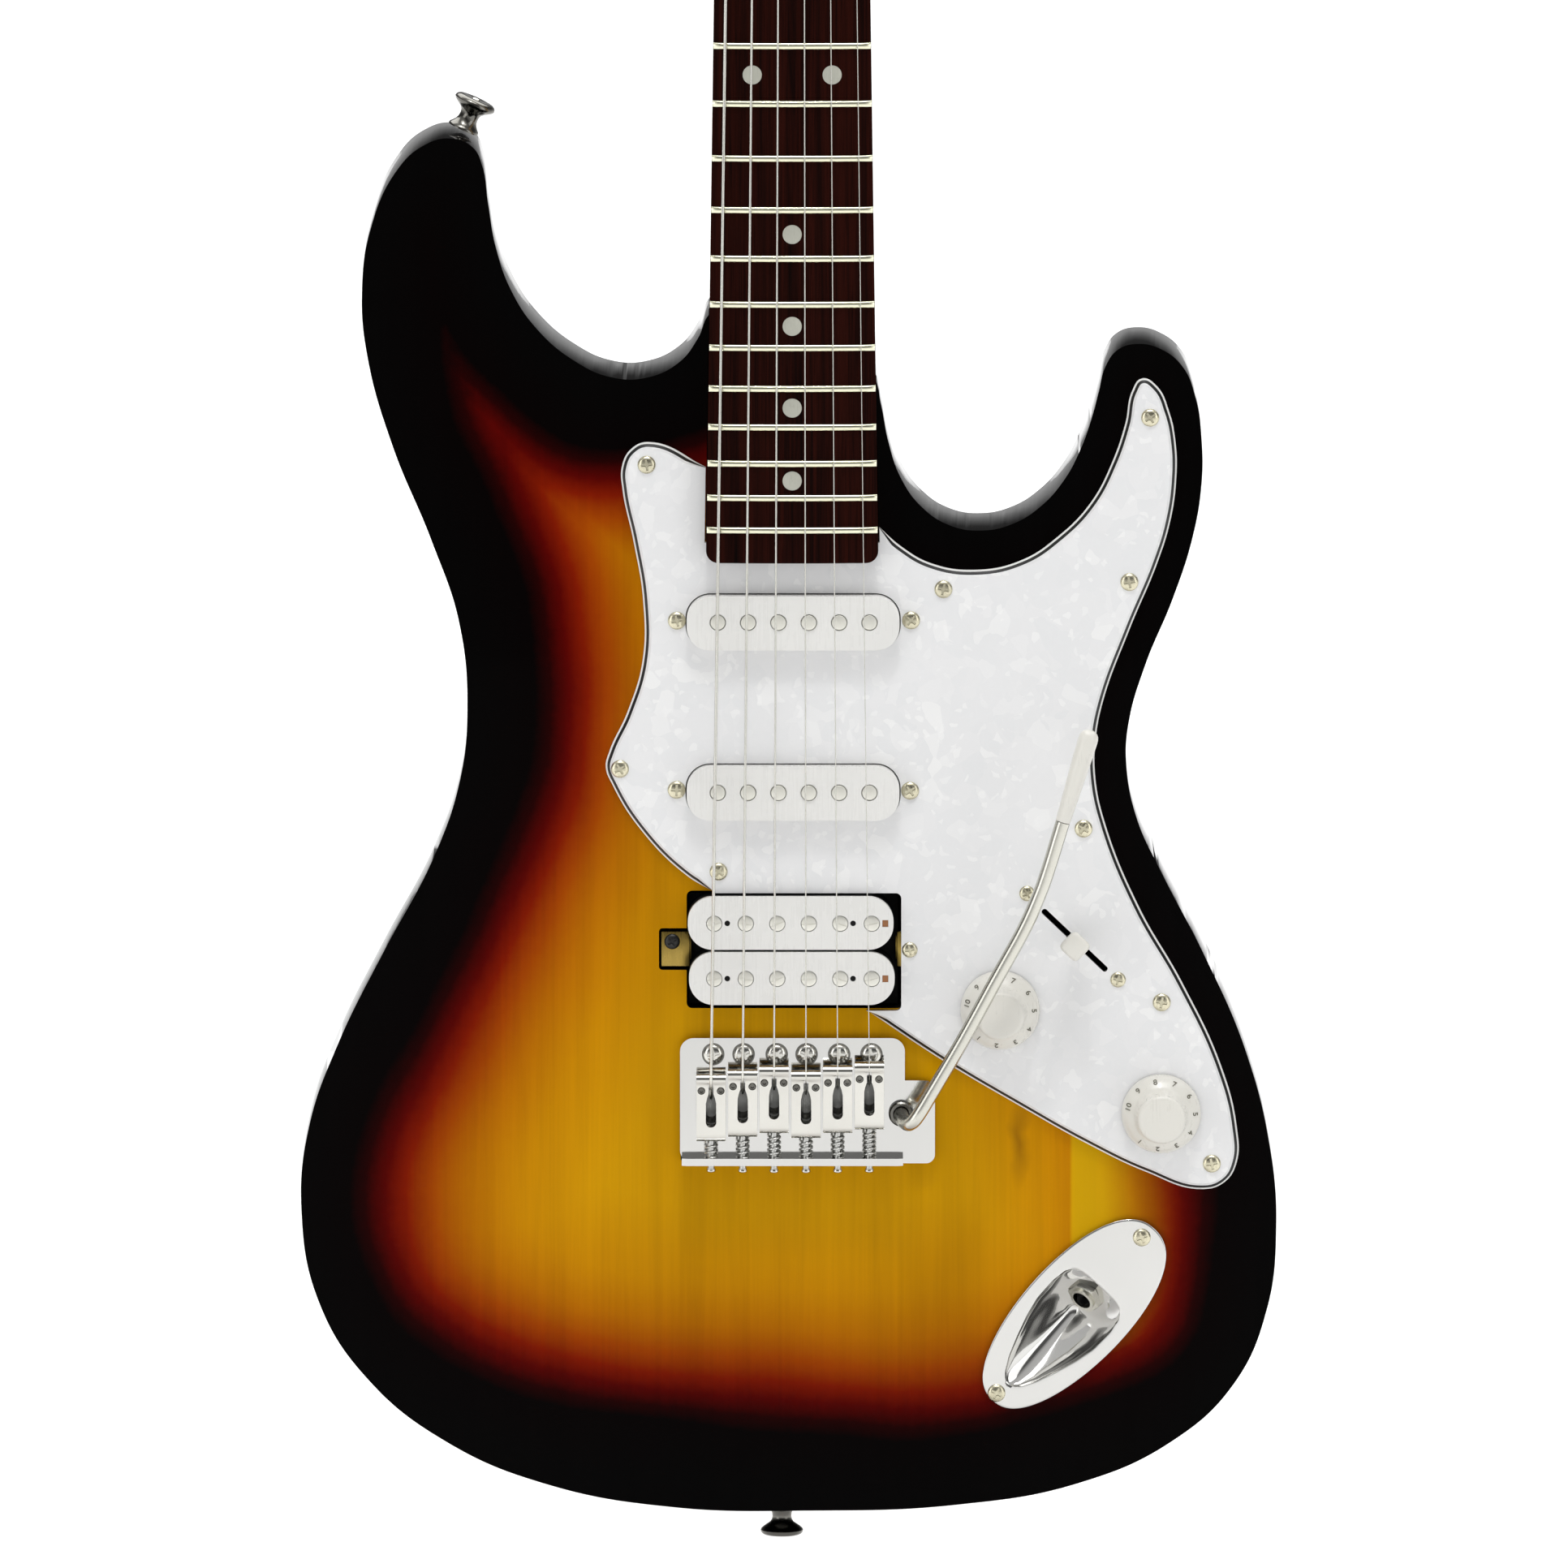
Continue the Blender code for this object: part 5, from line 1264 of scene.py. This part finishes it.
# ---- output jack -----------------------------------------------------------------------------------------------
def jack_outline(grow=0.0, count=112):
    out = []
    for i in range(count):
        a = 2 * math.pi * i / count
        z = (JACK_LONG / 2 + grow) * math.cos(a)
        wide = (JACK_WIDE / 2 + grow) * math.copysign(abs(math.sin(a)) ** 0.86, math.sin(a))
        wide *= 1 + 0.05 * math.cos(a)
        t = math.radians(JACK_TURN)
        out.append(
            (JACK[0] + wide * math.cos(t) + z * math.sin(t), JACK[1] - wide * math.sin(t) + z * math.cos(t), "corner")
        )
    return out


PLUG_TILT = math.radians(40)
plug_out = Vector((0, -math.sin(PLUG_TILT), -math.cos(PLUG_TILT)))
jack_wall = Vector((-0.8, 4.9, 7.4))


def on_plug(distance):
    return jack_turn @ (jack_wall + plug_out * distance)


def dish_half(u):
    """Half the dish's width at a place along the plate."""
    return max(float(np.interp(-u, [-a for a, _ in DISH_EDGE], [b for _, b in DISH_EDGE])), 0.01)


def dish_deep(u, v):
    """Depth of the pressed dish: an end wall for the jack, then a floor that rises to the far end."""
    wall = 14.0 * (13.0 - u) / 11.8
    ground = 14.0 * max(0.0, (u + 32.0) / 33.2) ** 0.8
    base = max(0.0, -math.log(math.exp(-0.7 * wall) + math.exp(-0.7 * ground)) / 0.7 + 0.05)
    share = min(1.0, abs(v) / dish_half(u)) if u < 12.99 else 0.0
    trough = max(0.0, 1 - share**2.4) ** 0.6
    channel = math.exp(-((v / 4.4) ** 2))
    return base * (0.76 * trough + 0.24 * channel * min(1.0, trough * 1.5))


def crossing(u0, v0, du, dv):
    """Where a ray from inside the dish meets its edge."""
    best = None
    for (ua, va), (ub, vb) in zip(dish_loop, [*dish_loop[1:], dish_loop[0]]):
        eu, ev = ub - ua, vb - va
        cross = du * ev - dv * eu
        if abs(cross) < 1e-9:
            continue
        t = ((ua - u0) * ev - (va - v0) * eu) / cross
        s = ((ua - u0) * dv - (va - v0) * du) / cross
        if t > 0 and -1e-6 <= s <= 1 + 1e-6:
            best = t if best is None else max(best, t)
    return best


rings = []
middle_u = -3.0
back_turn = jack_turn.inverted()
edge_uv = []
for x, z, _ in jack_outline(0.0, 144):
    local = back_turn @ Vector((x, 0, z))
    edge_uv.append((local.z, local.x))
for shrink, y in ((0.0, -0.9), (0.0, -1.55), (0.12, -1.8), (0.35, -1.9), (0.8, -1.9)):
    rings.append([(u * (1 - shrink / 39.5), v * (1 - shrink / 17.5), y) for u, v in edge_uv])
mouth = []
for u, v in edge_uv:
    du, dv = u - middle_u, v
    t = crossing(middle_u, 0.0, du, dv)
    mouth.append((middle_u + du * t, dv * t))
for grow in (1.075, 1.03):
    rings.append([(middle_u + (u - middle_u) * grow, v * grow, -1.9) for u, v in mouth])
for share in (1.0, 0.985, 0.965, 0.94, 0.91, 0.875, 0.835, 0.79, 0.74, 0.69, 0.63, 0.57, 0.51, 0.45, 0.38, 0.31, 0.24, 0.17, 0.1, 0.04):
    rings.append(
        [
            (middle_u + (u - middle_u) * share, v * share,
             -1.88 + (dish_deep(middle_u + (u - middle_u) * share, v * share) if share < 1 else 0.02))
            for u, v in mouth
        ]
    )  # fmt: skip
bm = bmesh.new()
loops = [[bm.verts.new(jack_turn @ Vector((v, y, u)) * MM) for u, v, y in row] for row in rings]
tip = bm.verts.new(jack_turn @ Vector((0, -1.88 + dish_deep(middle_u, 0), middle_u)) * MM)
count = len(loops[0])
for outer, inner in zip(loops, loops[1:]):
    for k in range(count):
        bm.faces.new((outer[k], outer[(k + 1) % count], inner[(k + 1) % count], inner[k]))
for k in range(count):
    bm.faces.new((loops[-1][k], loops[-1][(k + 1) % count], tip))
bmesh.ops.recalc_face_normals(bm, faces=bm.faces)
if sum(face.normal.y * face.calc_area() for face in bm.faces) > 0:
    bmesh.ops.reverse_faces(bm, faces=bm.faces)
scoop = from_bmesh("jack_scoop", bm, CHROME)
thick = scoop.modifiers.new("thick", "SOLIDIFY")
thick.thickness, thick.offset = 0.8 * MM, -1.0
keep(scoop, "guitar", "jack_plate", slot="chrome", angle=50)
socket = rod("jack_socket", on_plug(-9), on_plug(3.4), 4.3, SATIN, sides=48)
combine(socket, rod("jack_frame", on_plug(-9), on_plug(-3.2), 7.0, cutter=True, sides=40), "UNION")
combine(socket, rod("jack_nut", on_plug(0.2), on_plug(2.6), 5.9, cutter=True, sides=6), "UNION")
combine(socket, rod("jack_bore", on_plug(-8), on_plug(6), 3.3, cutter=True, sides=40))
bevel(socket, 0.3, 3, 40)
keep(socket, "guitar", "output_jack", slot="nickel")
# a black cup lining the socket's bore: painted shade inside the hole
bore_shade = turned("jack_lining", [(3.25, 2.6), (3.28, -7.4), (0.0, -7.4), (0.0, -7.0), (3.0, -7.0), (3.0, 2.6), (3.25, 2.6)], on_plug(0), plug_out, SHADE_BLACK)
keep(bore_shade, "guitar", slot="black_plastic")
spots = [((116.1, -1.92, -704.0), FRONT, 22), ((67.9, -1.92, -756.3), FRONT, 61)]
keep(placed(CROSS_BIG, "jack_plate_screws", spots, WORN_NICKEL), "guitar", slot="nickel")

# ---- vibrato bridge -----------------------------------------------------------------------------------------------
plate = sheet("bridge_base", [corner_box(0.1, (PLATE_FRONT + PLATE_REAR) / 2, 74.6, 42.1, 4.5, 12)], PLATE_TOP, PLATE_UNDER, CHROME)  # fmt: skip
wing = sheet("plate_wing", [corner_box(36.4, -665.0, 22.0, 27.8, 3.0, 10)], PLATE_TOP + 0.001, PLATE_UNDER - 0.001, cutter=True)  # fmt: skip
combine(plate, wing, "UNION")
lip = sheet("plate_lip", [[(-36.6, 0, "corner"), (36.8, 0, "corner"), (36.8, 9.0, "corner"), (35.0, 9.6, "corner"), (-34.8, 9.6, "corner"), (-36.6, 9.0, "corner")]], 0, 2.4, cutter=True)  # fmt: skip
lip.data.transform(
    Matrix.Translation(Vector((0, -1.6, -678.6)) * MM) @ Matrix.Rotation(math.radians(90), 4, "X")
)
combine(plate, lip, "UNION")
combine(
    plate,
    box("plate_chamfer", (-50, 0, 0), (50, 5, 12), cutter=True,
        turn=Matrix.Translation(Vector((0, PLATE_UNDER + 0.05, PIVOT_Z))) @ Matrix.Rotation(math.radians(14), 4, "X")),
)  # fmt: skip
block = box("sustain_block", (-33.5, PLATE_UNDER + GAP, -672.6), (33.5, BLOCK_BOTTOM, -650), STEEL)
combine(block, box("arm_boss", (32.5, PLATE_UNDER + GAP + 0.2, -672.3), (41.5, 27.5, -654.2), cutter=True), "UNION")
for i, x in enumerate(STRING_BRIDGE_X):
    z = SADDLE_FRONT[i] - 9.4
    mouth = [corner_box(x, SADDLE_FRONT[i] - 12.0, 3.8, 12.6, 1.85, 8)]
    combine(plate, sheet(f"plate_hole_{i + 1}", mouth, -8, 4, cutter=True))
    combine(block, sheet(f"block_mouth_{i + 1}", mouth, -8, 14, cutter=True))
    combine(block, rod(f"block_hole_{i + 1}", (x, -8, z), (x, 44, z), 2.0, cutter=True))
combine(plate, rod("arm_hole", (ARM_X, -8, ARM_Z), (ARM_X, 4, ARM_Z), ARM_R + 0.4, cutter=True, sides=40))
combine(block, rod("arm_bore", (ARM_X, -8, ARM_Z), (ARM_X, 24, ARM_Z), ARM_R + 0.4, cutter=True, sides=40))
bevel(plate, 0.35, 3, 50)
bevel(block, 0.6, 3, 50)
keep(plate, "bridge", "bridge_plate", slot="chrome")
keep(block, "bridge", "tremolo_block", slot="steel")
collar = turned(
    "arm_collar",
    [(2.75, 3.4), (3.6, 3.4), (4.1, 3.0), (4.2, 2.2), (4.2, 0.1), (2.75, 0.1), (2.75, 3.4)],
    (ARM_X, PLATE_TOP, ARM_Z), FRONT, DARK,
)  # fmt: skip
keep(collar, "bridge", slot="black_nickel")
spots = [((x, PLATE_TOP - 0.05, -642.3), FRONT, 19 * k + 9) for k, x in enumerate((-26.2, -16.1, -5.1, 4.8, 15.6, 26.3))]  # fmt: skip
keep(placed(CROSS_PLATE, "pivot_screws", spots, NICKEL), "guitar", slot="nickel")
# thin dark rings under the pivot screw heads: painted shade round each head
shade_rings = [rod(f"screw_seat_{k}", (at[0], PLATE_TOP - 0.04, at[2]), (at[0], PLATE_TOP + 0.3, at[2]), 3.75, sides=40) for k, (at, _, _) in enumerate(spots)]
keep(joined("pivot_screw_seats", shade_rings, DARK), "bridge", slot="black_nickel")

rear_heads, rear_rods, heights = [], [], []
for i, x in enumerate(STRING_BRIDGE_X):
    n = i + 1
    front = SADDLE_FRONT[i]
    top = STRING_BRIDGE_Y + crown(x) + STRING_R[i] + GAP
    floor = PLATE_TOP - GAP
    side = [
        (0.0, top + 2.6), (0.15, top + 1.7), (0.5, top + 0.9), (0.9, top + 0.42), (1.4, top + 0.15),
        (1.8, top + 0.03), (2.2, top), (2.6, top + 0.06), (3.0, top + 0.25), (3.5, top + 0.46),
        (4.0, top + 0.7), (12.0, top + 1.72), (20.6, top + 2.8), (21.6, top + 2.95), (22.4, top + 3.3),
        (22.95, top + 3.9), (23.2, top + 4.6), (23.2, floor), (21.7, floor), (21.7, top + 5.6),
        (21.3, top + 4.9), (20.4, top + 4.5), (4.0, top + 2.3), (3.2, top + 2.0), (2.4, top + 1.9),
        (1.8, top + 2.2), (1.4, top + 2.8), (1.2, top + 3.4),
    ]  # fmt: skip
    saddle = loft(f"saddle_{n}_bent", [[(x + s * SADDLE_WIDE / 2, y, front - run) for run, y in side] for s in (-1, 1)], NICKEL)  # fmt: skip
    # pointed opening that the string comes up through
    key = [(x, front - 5.0, "corner"), (x - 0.7, front - 6.6, "corner"), (x - 1.35, front - 8.4, "corner"), (x - 1.7, front - 10.2, "corner")]
    key += [(x - 1.75 * math.cos(math.radians(15 * k)), front - 16.6 - 1.75 * math.sin(math.radians(15 * k)), "corner") for k in range(13)]
    key += [(x + 1.7, front - 10.2, "corner"), (x + 1.35, front - 8.4, "corner"), (x + 0.7, front - 6.6, "corner")]
    combine(saddle, sheet(f"saddle_{n}_key", [key[::-1]], top - 3, top + 8, cutter=True))
    combine(saddle, sheet(f"saddle_{n}_relief", [corner_box(x, front - 5.4, 1.6, 4.2, 0.7, 6)], top - 3, top + 8, cutter=True))  # fmt: skip
    for s in (-1, 1):
        combine(saddle, rod(f"saddle_{n}_tap_{s}", (x + s * 3.2, top - 2, front - 5.8), (x + s * 3.2, top + 5, front - 5.8), 1.3, cutter=True, sides=28))  # fmt: skip
    combine(saddle, rod(f"saddle_{n}_rear_hole", (x, top + 6.2, front - 20), (x, top + 6.2, front - 26), 1.5, cutter=True, sides=24))  # fmt: skip
    bevel(saddle, 0.18, 2, 40)
    keep(saddle, f"saddle_{n}", f"saddle_{n}", slot="nickel")
    legs = []
    for s in (-1, 1):
        leg = turned(
            f"saddle_{n}_leg_{s}",
            [(0, 0.0), (0.9, 0.0), (1.12, -0.2), (1.12, -(floor - top) + 0.55), (0.7, -(floor - top) + 0.1), (0, -(floor - top) + 0.1)],
            (x + s * 3.2, top + 0.75, front - 5.8), FRONT, steps=24,
        )  # fmt: skip
        combine(leg, rod("hex_socket", (x + s * 3.2, top - 1, front - 5.8), (x + s * 3.2, top + 1.9, front - 5.8), 0.7, cutter=True, sides=6))  # fmt: skip
        legs.append(leg)
    keep(joined(f"saddle_{n}_height_screws", legs, DARK), f"saddle_{n}", slot="black_nickel")
    wire = tube(
        f"saddle_{n}_spring",
        coil((x, top + 6.2, front - 23.6), (x, top + 6.2, -678.4), 1.95, max(3, int((front - 23.6 + 678.4) / 1.5))),
        0.42, STEEL, detail=2,
    )  # fmt: skip
    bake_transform(wire)
    rear_rods.append(rod(f"length_screw_{n}", (x, top + 6.2, front - 19.0), (x, top + 6.2, -681.2), 1.15, sides=20))
    rear_heads.append(((x, top + 6.2, -680.9), (0, 0, -1), 17 * i + 5))
keep(joined("length_screws", rear_rods, STEEL), "bridge", slot="steel")
keep(placed(CROSS_SMALL, "length_screw_heads", rear_heads, NICKEL), "bridge", slot="nickel")

arm_line = through(
    [
        (ARM_X, 18.0, ARM_Z), (ARM_X, 2.0, ARM_Z), (ARM_X, -9.0, ARM_Z),
        (ARM_X + 0.6, -15.5, ARM_Z - 0.5), (ARM_X + 1.6, -20.6, ARM_Z - 0.9),
        (ARM_X + 3.1, -23.9, ARM_Z - 0.4), (41.6, -25.3, -659.7), (46.3, -25.6, -651.9),
        (56.8, -26.3, -633.7), (66.6, -26.9, -615.5), (71.6, -27.2, -606.4),
        (74.9, -27.4, -600.4), (77.9, -27.6, -594.4), (80.6, -27.8, -588.2),
        (84.0, -28.2, -579.1), (89.5, -29.0, -560.9),
    ],
    8,
)  # fmt: skip
arm_end = arm_line[-1]
arm_run = (arm_end - arm_line[-2]).normalized()
arm_line += [arm_end + arm_run * 0.02, arm_end + arm_run * 12]
arm = tube("arm_rod", arm_line, ARM_R, SATIN, [1.0] * (len(arm_line) - 2) + [0.6, 0.6], 7)
keep(arm, "arm", "tremolo_arm", slot="chrome", angle=60)
tip_profile = [
    (0, 32.4), (0.9, 32.3), (1.7, 32.0), (2.4, 31.5), (2.9, 30.8), (3.2, 29.8), (3.3, 28.6),
    (3.25, 24.0), (3.0, 16.0), (2.75, 9.0), (2.6, 5.0), (2.5, 0.8), (2.4, 0.3), (1.75, 0.3),
    (1.75, 13.0), (0, 13.0),
]  # fmt: skip
tip = turned("arm_cap", tip_profile, arm_end, arm_run, CREAM)
keep(tip, "arm", "arm_tip", slot="cream_plastic", angle=50)

claw = box("claw_plate", (-27, 30.2, -573.4), (27, 31.8, -566.0), STEEL)
combine(claw, box("claw_wall", (-27, 23.0, -567.4), (27, 31.0, -565.8), cutter=True), "UNION")
for i, x in enumerate((-16.0, 0.0, 16.0)):
    combine(claw, box(f"claw_hook_{i + 1}", (x - 1.5, 31, -573.2), (x + 1.5, 34.2, -571.6), cutter=True), "UNION")
bevel(claw, 0.25, 2, 50)
keep(claw, "guitar", "spring_claw", slot="steel")
for i, x in enumerate((-16.0, 0.0, 16.0)):
    low, high = (x, 33.0, -649.3), (x, 33.0, -576.1)
    line = [Vector(low), Vector((x, 33.0, -643.0)), Vector((x, 33.0, -641.0))]
    wound = coil((x, 33.0, -638.0), (x, 33.0, -586.0), 3.1, 34, 14)
    line += [Vector((x, 33.0, -639.5)), *wound, Vector((x, 33.0, -584.5)), Vector((x, 33.0, -582.0)), Vector(high)]
    wire = tube(f"claw_spring_{i + 1}", line, 0.62, STEEL, detail=2)
    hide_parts(f"tremolo_spring_{i + 1}")
    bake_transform(wire)

# ---- strap buttons ------------------------------------------------------------------------------------------------
button_profile = [
    (0, 10.7), (0.9, 10.75), (3.4, 10.95), (5.0, 11.0), (5.9, 10.85), (6.6, 10.45), (7.0, 9.9),
    (7.1, 9.3), (6.8, 8.7), (6.0, 8.05), (4.9, 7.3), (3.9, 6.6), (3.4, 5.8), (3.2, 4.8),
    (3.3, 3.6), (3.8, 2.4), (4.5, 1.5), (5.1, 0.9), (5.3, 0.4), (5.3, 0), (0, 0),
]  # fmt: skip
for label, spot, axis in (
    ("upper", (-109.0, 22.0, -336.1), (0.42, 0, 0.91)),
    ("end", (-3.4, 22.0, -796.7), (0, 0, -1)),
):
    knob = turned(f"{label}_button", button_profile, spot, axis, DARK)
    keep(knob, "guitar", f"strap_button_{label}", slot="black_nickel", angle=50)
    head = Vector(spot) + Vector(axis).normalized() * 10.6
    keep(placed(CROSS_SMALL, f"{label}_button_screw", [(head, axis, 30)], NICKEL), "guitar", slot="nickel")

# ---- tuners ----------------------------------------------------------------------------------------------------------
WORM_SHIFT, WORM_Y = 6.3, 20.0
post_profile = [
    (0, 18.0), (1.6, 18.0), (2.2, 17.9), (2.6, 17.6), (2.95, 17.1), (3.0, 16.5), (3.0, 13.6),
    (2.8, 13.0), (POST_WAIST, 12.4), (POST_WAIST, 7.2), (2.8, 6.5), (3.0, 6.0), (3.0, -17.0),
    (4.0, -17.0), (4.0, -22.8), (0, -22.8),
]  # fmt: skip
plate_screws = []
for i, (x, z) in enumerate(POSTS):
    n = i + 1
    here = Matrix.Translation(Vector((x, 0, z))) @ Matrix(
        ((OUT.x, 0, EDGE.x, 0), (0, 1, 0, 0), (OUT.z, 0, EDGE.z, 0), (0, 0, 0, 1))
    )
    gear = box(f"gear_case_{n}", (-7.6, HEAD_BACK + GAP, -7.0), (8.4, 26.0, 10.2), NICKEL, turn=here)
    bevel(gear, 1.8, 5, 60)
    gear = realise(gear, 50)
    for label, y0, y1, r, sides in (
        ("sleeve", -3.6, 17.0, 4.7, 40), ("washer", -1.5, -GAP, 7.0, 48), ("bushing", -3.8, -1.2, 5.6, 6),
    ):  # fmt: skip
        combine(gear, rod(f"tuner_{n}_{label}", (x, y0, z), (x, y1, z), r, cutter=True, sides=sides), "UNION")
    combine(gear, rod(f"tuner_{n}_bore", (x, -8, z), (x, 18, z), 3.3, cutter=True))
    combine(gear, rod(f"tuner_{n}_chamber", (x, 16.6, z), (x, 23.2, z), 4.35, cutter=True))
    a = here @ Vector((-5.4, WORM_Y, WORM_SHIFT))
    b = here @ Vector((14.0, WORM_Y, WORM_SHIFT))
    combine(gear, rod(f"tuner_{n}_worm_bore", a, b, 2.15, cutter=True))
    keep(gear, "guitar", f"tuner_housing_{n}", slot="nickel")
    post = turned(f"string_post_{n}", post_profile, (x, 0, z), FRONT, NICKEL)
    combine(post, box(f"post_slot_{n}", (x - 0.7, -19, z - 4), (x + 0.7, -15.2, z + 4), cutter=True))
    keep(post, f"post_{n}", f"tuner_post_{n}", slot="nickel")
    # paddle-shaped button on its shaft
    rows = []
    for out, wide, thick in (
        (19.0, 1.9, 1.9), (20.0, 2.6, 2.4), (21.2, 4.6, 3.1), (22.8, 6.8, 3.6), (24.8, 8.1, 3.9),
        (27.0, 8.4, 4.0), (28.8, 8.0, 3.8), (30.0, 7.1, 3.3), (30.7, 5.8, 2.5), (31.0, 4.0, 1.5),
    ):  # fmt: skip
        row = []
        for k in range(36):
            t = 2 * math.pi * k / 36
            c, s = math.cos(t), math.sin(t)
            row.append(
                here
                @ Vector(
                    (out, WORM_Y + thick * math.copysign(abs(s) ** 0.8, s), WORM_SHIFT + wide * math.copysign(abs(c) ** 0.8, c))
                )
            )
        rows.append(row)
    paddle = loft(f"paddle_{n}", rows, CHROME, angle=60)
    shaft = rod(f"paddle_shaft_{n}", here @ Vector((-5.0, WORM_Y, WORM_SHIFT)), here @ Vector((20.0, WORM_Y, WORM_SHIFT)), 1.85, cutter=True)  # fmt: skip
    combine(paddle, shaft, "UNION")
    keep(paddle, f"button_{n}", f"tuner_button_{n}", slot="chrome", angle=50)
    for dx, dz in ((-4.6, -4.4), (5.0, -4.4)):
        plate_screws.append((here @ Vector((dx, 26.0, dz)), BACK, 25 * n + dx))
keep(placed(CROSS_SMALL, "gear_case_screws", plate_screws, NICKEL), "guitar", slot="nickel")
tree = turned("string_retainer", [(0, 9.2), (1.6, 9.2), (2.6, 8.8), (2.9, 8.0), (2.6, 7.6), (1.5, 7.2), (1.3, 1.2), (2.4, 0.6), (2.4, 0.02), (0, 0.02)], ((string_x(4, 62) + string_x(5, 62)) / 2, 0, 62), FRONT, NICKEL)  # fmt: skip
keep(tree, "guitar", slot="nickel")

# ---- strings ---------------------------------------------------------------------------------------------------------
for i in range(6):
    r = STRING_R[i]
    bridge_x, nut_x = STRING_BRIDGE_X[i], STRING_NUT_X[i]
    front = SADDLE_FRONT[i]
    crest = STRING_BRIDGE_Y + crown(bridge_x)
    over_nut = STRING_NUT_Y + crown(nut_x)
    hole = front - 9.4
    px, pz = POSTS[i]
    wrap = POST_WAIST + GAP + r
    low = -8.0
    rise = through(
        [
            (bridge_x, 30.0, hole), (bridge_x, 8.0, hole), (bridge_x, -2.0, hole), (bridge_x, -4.2, hole + 0.5),
            (bridge_x, crest + 2.1, front - 4.9), (bridge_x, crest + 0.45, front - 3.2),
            (bridge_x, crest, front - 2.0),
        ],
        3,
    )  # fmt: skip
    line = list(rise)
    for t in (0.01, 0.02, 0.03, 0.04, 0.05, 0.06, 0.08, 0.1, 0.2, 0.35, 0.5, 0.65, 0.8, 0.95):
        line.append(
            (bridge_x + (nut_x - bridge_x) * t, crest + (over_nut - crest) * t, (front - 2.0) * (1 - t))
        )
    line += [(nut_x, over_nut, 0.0), (string_x(i, 3.3), over_nut + 0.1, 3.3)]
    turns, per_turn = 1.75, 28
    for k in range(int(turns * per_turn) + 1):
        a = 2 * math.pi * k / per_turn
        line.append((px + wrap * math.cos(a), low - (2 * r + 0.15) * k / per_turn, pz + wrap * math.sin(a)))
    wire = tube(f"wire_{i + 1}", line, r, WIRE, detail=3)
    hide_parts(f"string_{i + 1}")
    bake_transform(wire)  # fmt: skip

# ---- room, light, camera ------------------------------------------------------------------------------------------
for obj in list(cutters.objects):
    bpy.data.objects.remove(obj)

bm = bmesh.new()
bmesh.ops.create_grid(bm, x_segments=24, y_segments=24, size=1.0)
for vert in bm.verts:
    vert.co = (vert.co.x * 5.5, vert.co.y * 4.4 + 2.0, -0.84)
floor = from_bmesh("floor", bm, finish("floor_paint", (0.86, 0.86, 0.86), 0.75, spread=0.012, grain=30, wear=0.03, bump=0.02))

world = bpy.data.worlds.new("studio")
bpy.context.scene.world = world
world.use_nodes = True
tree = world.node_tree
back = tree.nodes["Background"]
back.inputs["Color"].default_value = (1, 1, 1, 1)
back.inputs["Strength"].default_value = 1.0
# what the metal mirrors: a pale room with a darker band above the horizon
sky = tree.nodes.new("ShaderNodeTexCoord")
split = tree.nodes.new("ShaderNodeSeparateXYZ")
tree.links.new(sky.outputs["Generated"], split.inputs["Vector"])
raised = tree.nodes.new("ShaderNodeMapRange")
raised.inputs["From Min"].default_value, raised.inputs["From Max"].default_value = -1.0, 1.0
tree.links.new(split.outputs["Z"], raised.inputs["Value"])
shade = tree.nodes.new("ShaderNodeValToRGB")
tree.links.new(raised.outputs["Result"], shade.inputs["Fac"])
while len(shade.color_ramp.elements) < 6:
    shade.color_ramp.elements.new(0.5)
for element, (at, level) in zip(
    shade.color_ramp.elements,
    ((0.0, 0.45), (0.52, 0.55), (0.6, 0.12), (0.74, 0.1), (0.84, 0.6), (1.0, 0.7)),
):
    element.position, element.color = at, (level, level, level, 1)
tree.links.new(shade.outputs["Color"], back.inputs["Color"])
seen = tree.nodes.new("ShaderNodeBackground")
seen.inputs["Color"].default_value = (1, 1, 1, 1)
seen.inputs["Strength"].default_value = 1.0
ray = tree.nodes.new("ShaderNodeLightPath")
both = tree.nodes.new("ShaderNodeMixShader")
tree.links.new(ray.outputs["Is Camera Ray"], both.inputs["Fac"])
tree.links.new(back.outputs["Background"], both.inputs[1])
tree.links.new(seen.outputs["Background"], both.inputs[2])
tree.links.new(both.outputs["Shader"], tree.nodes["World Output"].inputs["Surface"])


def panel(name, place, aim, wide, high, power, colour=(1, 1, 1)):
    light = bpy.data.lights.new(name, "AREA")
    light.shape, light.size, light.size_y = "RECTANGLE", wide, high
    light.energy, light.color = power, colour
    obj = bpy.data.objects.new(name, light)
    bpy.context.scene.collection.objects.link(obj)
    obj.location = place
    obj.rotation_euler = (Vector(aim) - Vector(place)).to_track_quat("-Z", "Y").to_euler()
    return obj


aim = (0, 0, -0.5)
panel("key_above", (0.1, -0.9, 1.5), aim, 1.6, 0.7, 14)
panel("fill_left", (-2.0, -1.5, 0.1), aim, 1.2, 1.8, 12.5)
panel("fill_right", (2.0, -1.5, 0.1), aim, 1.2, 1.8, 10.5)
panel("floor_wash", (0, 2.9, 3.0), (0, 2.7, -0.8), 7.0, 5.0, 330)
panel("spark", (0.0, -0.8, 1.5), (0, 0, -0.55), 0.16, 0.16, 9)

camera = bpy.data.objects.new("camera", bpy.data.cameras.new("camera"))
bpy.context.scene.collection.objects.link(camera)
bpy.context.scene.camera = camera
camera.data.lens, camera.data.sensor_width = 830.98, 36.0
camera.data.clip_end = 60.0
tilt = math.radians(8.0)
target = Vector((-0.0027, 0.0, -0.5522))
distance = 12.0
camera.location = target + Vector((0, -math.cos(tilt), math.sin(tilt))) * distance
camera.rotation_euler = (math.radians(90) - tilt, 0, 0)
bpy.context.scene.view_settings.view_transform = "Standard"
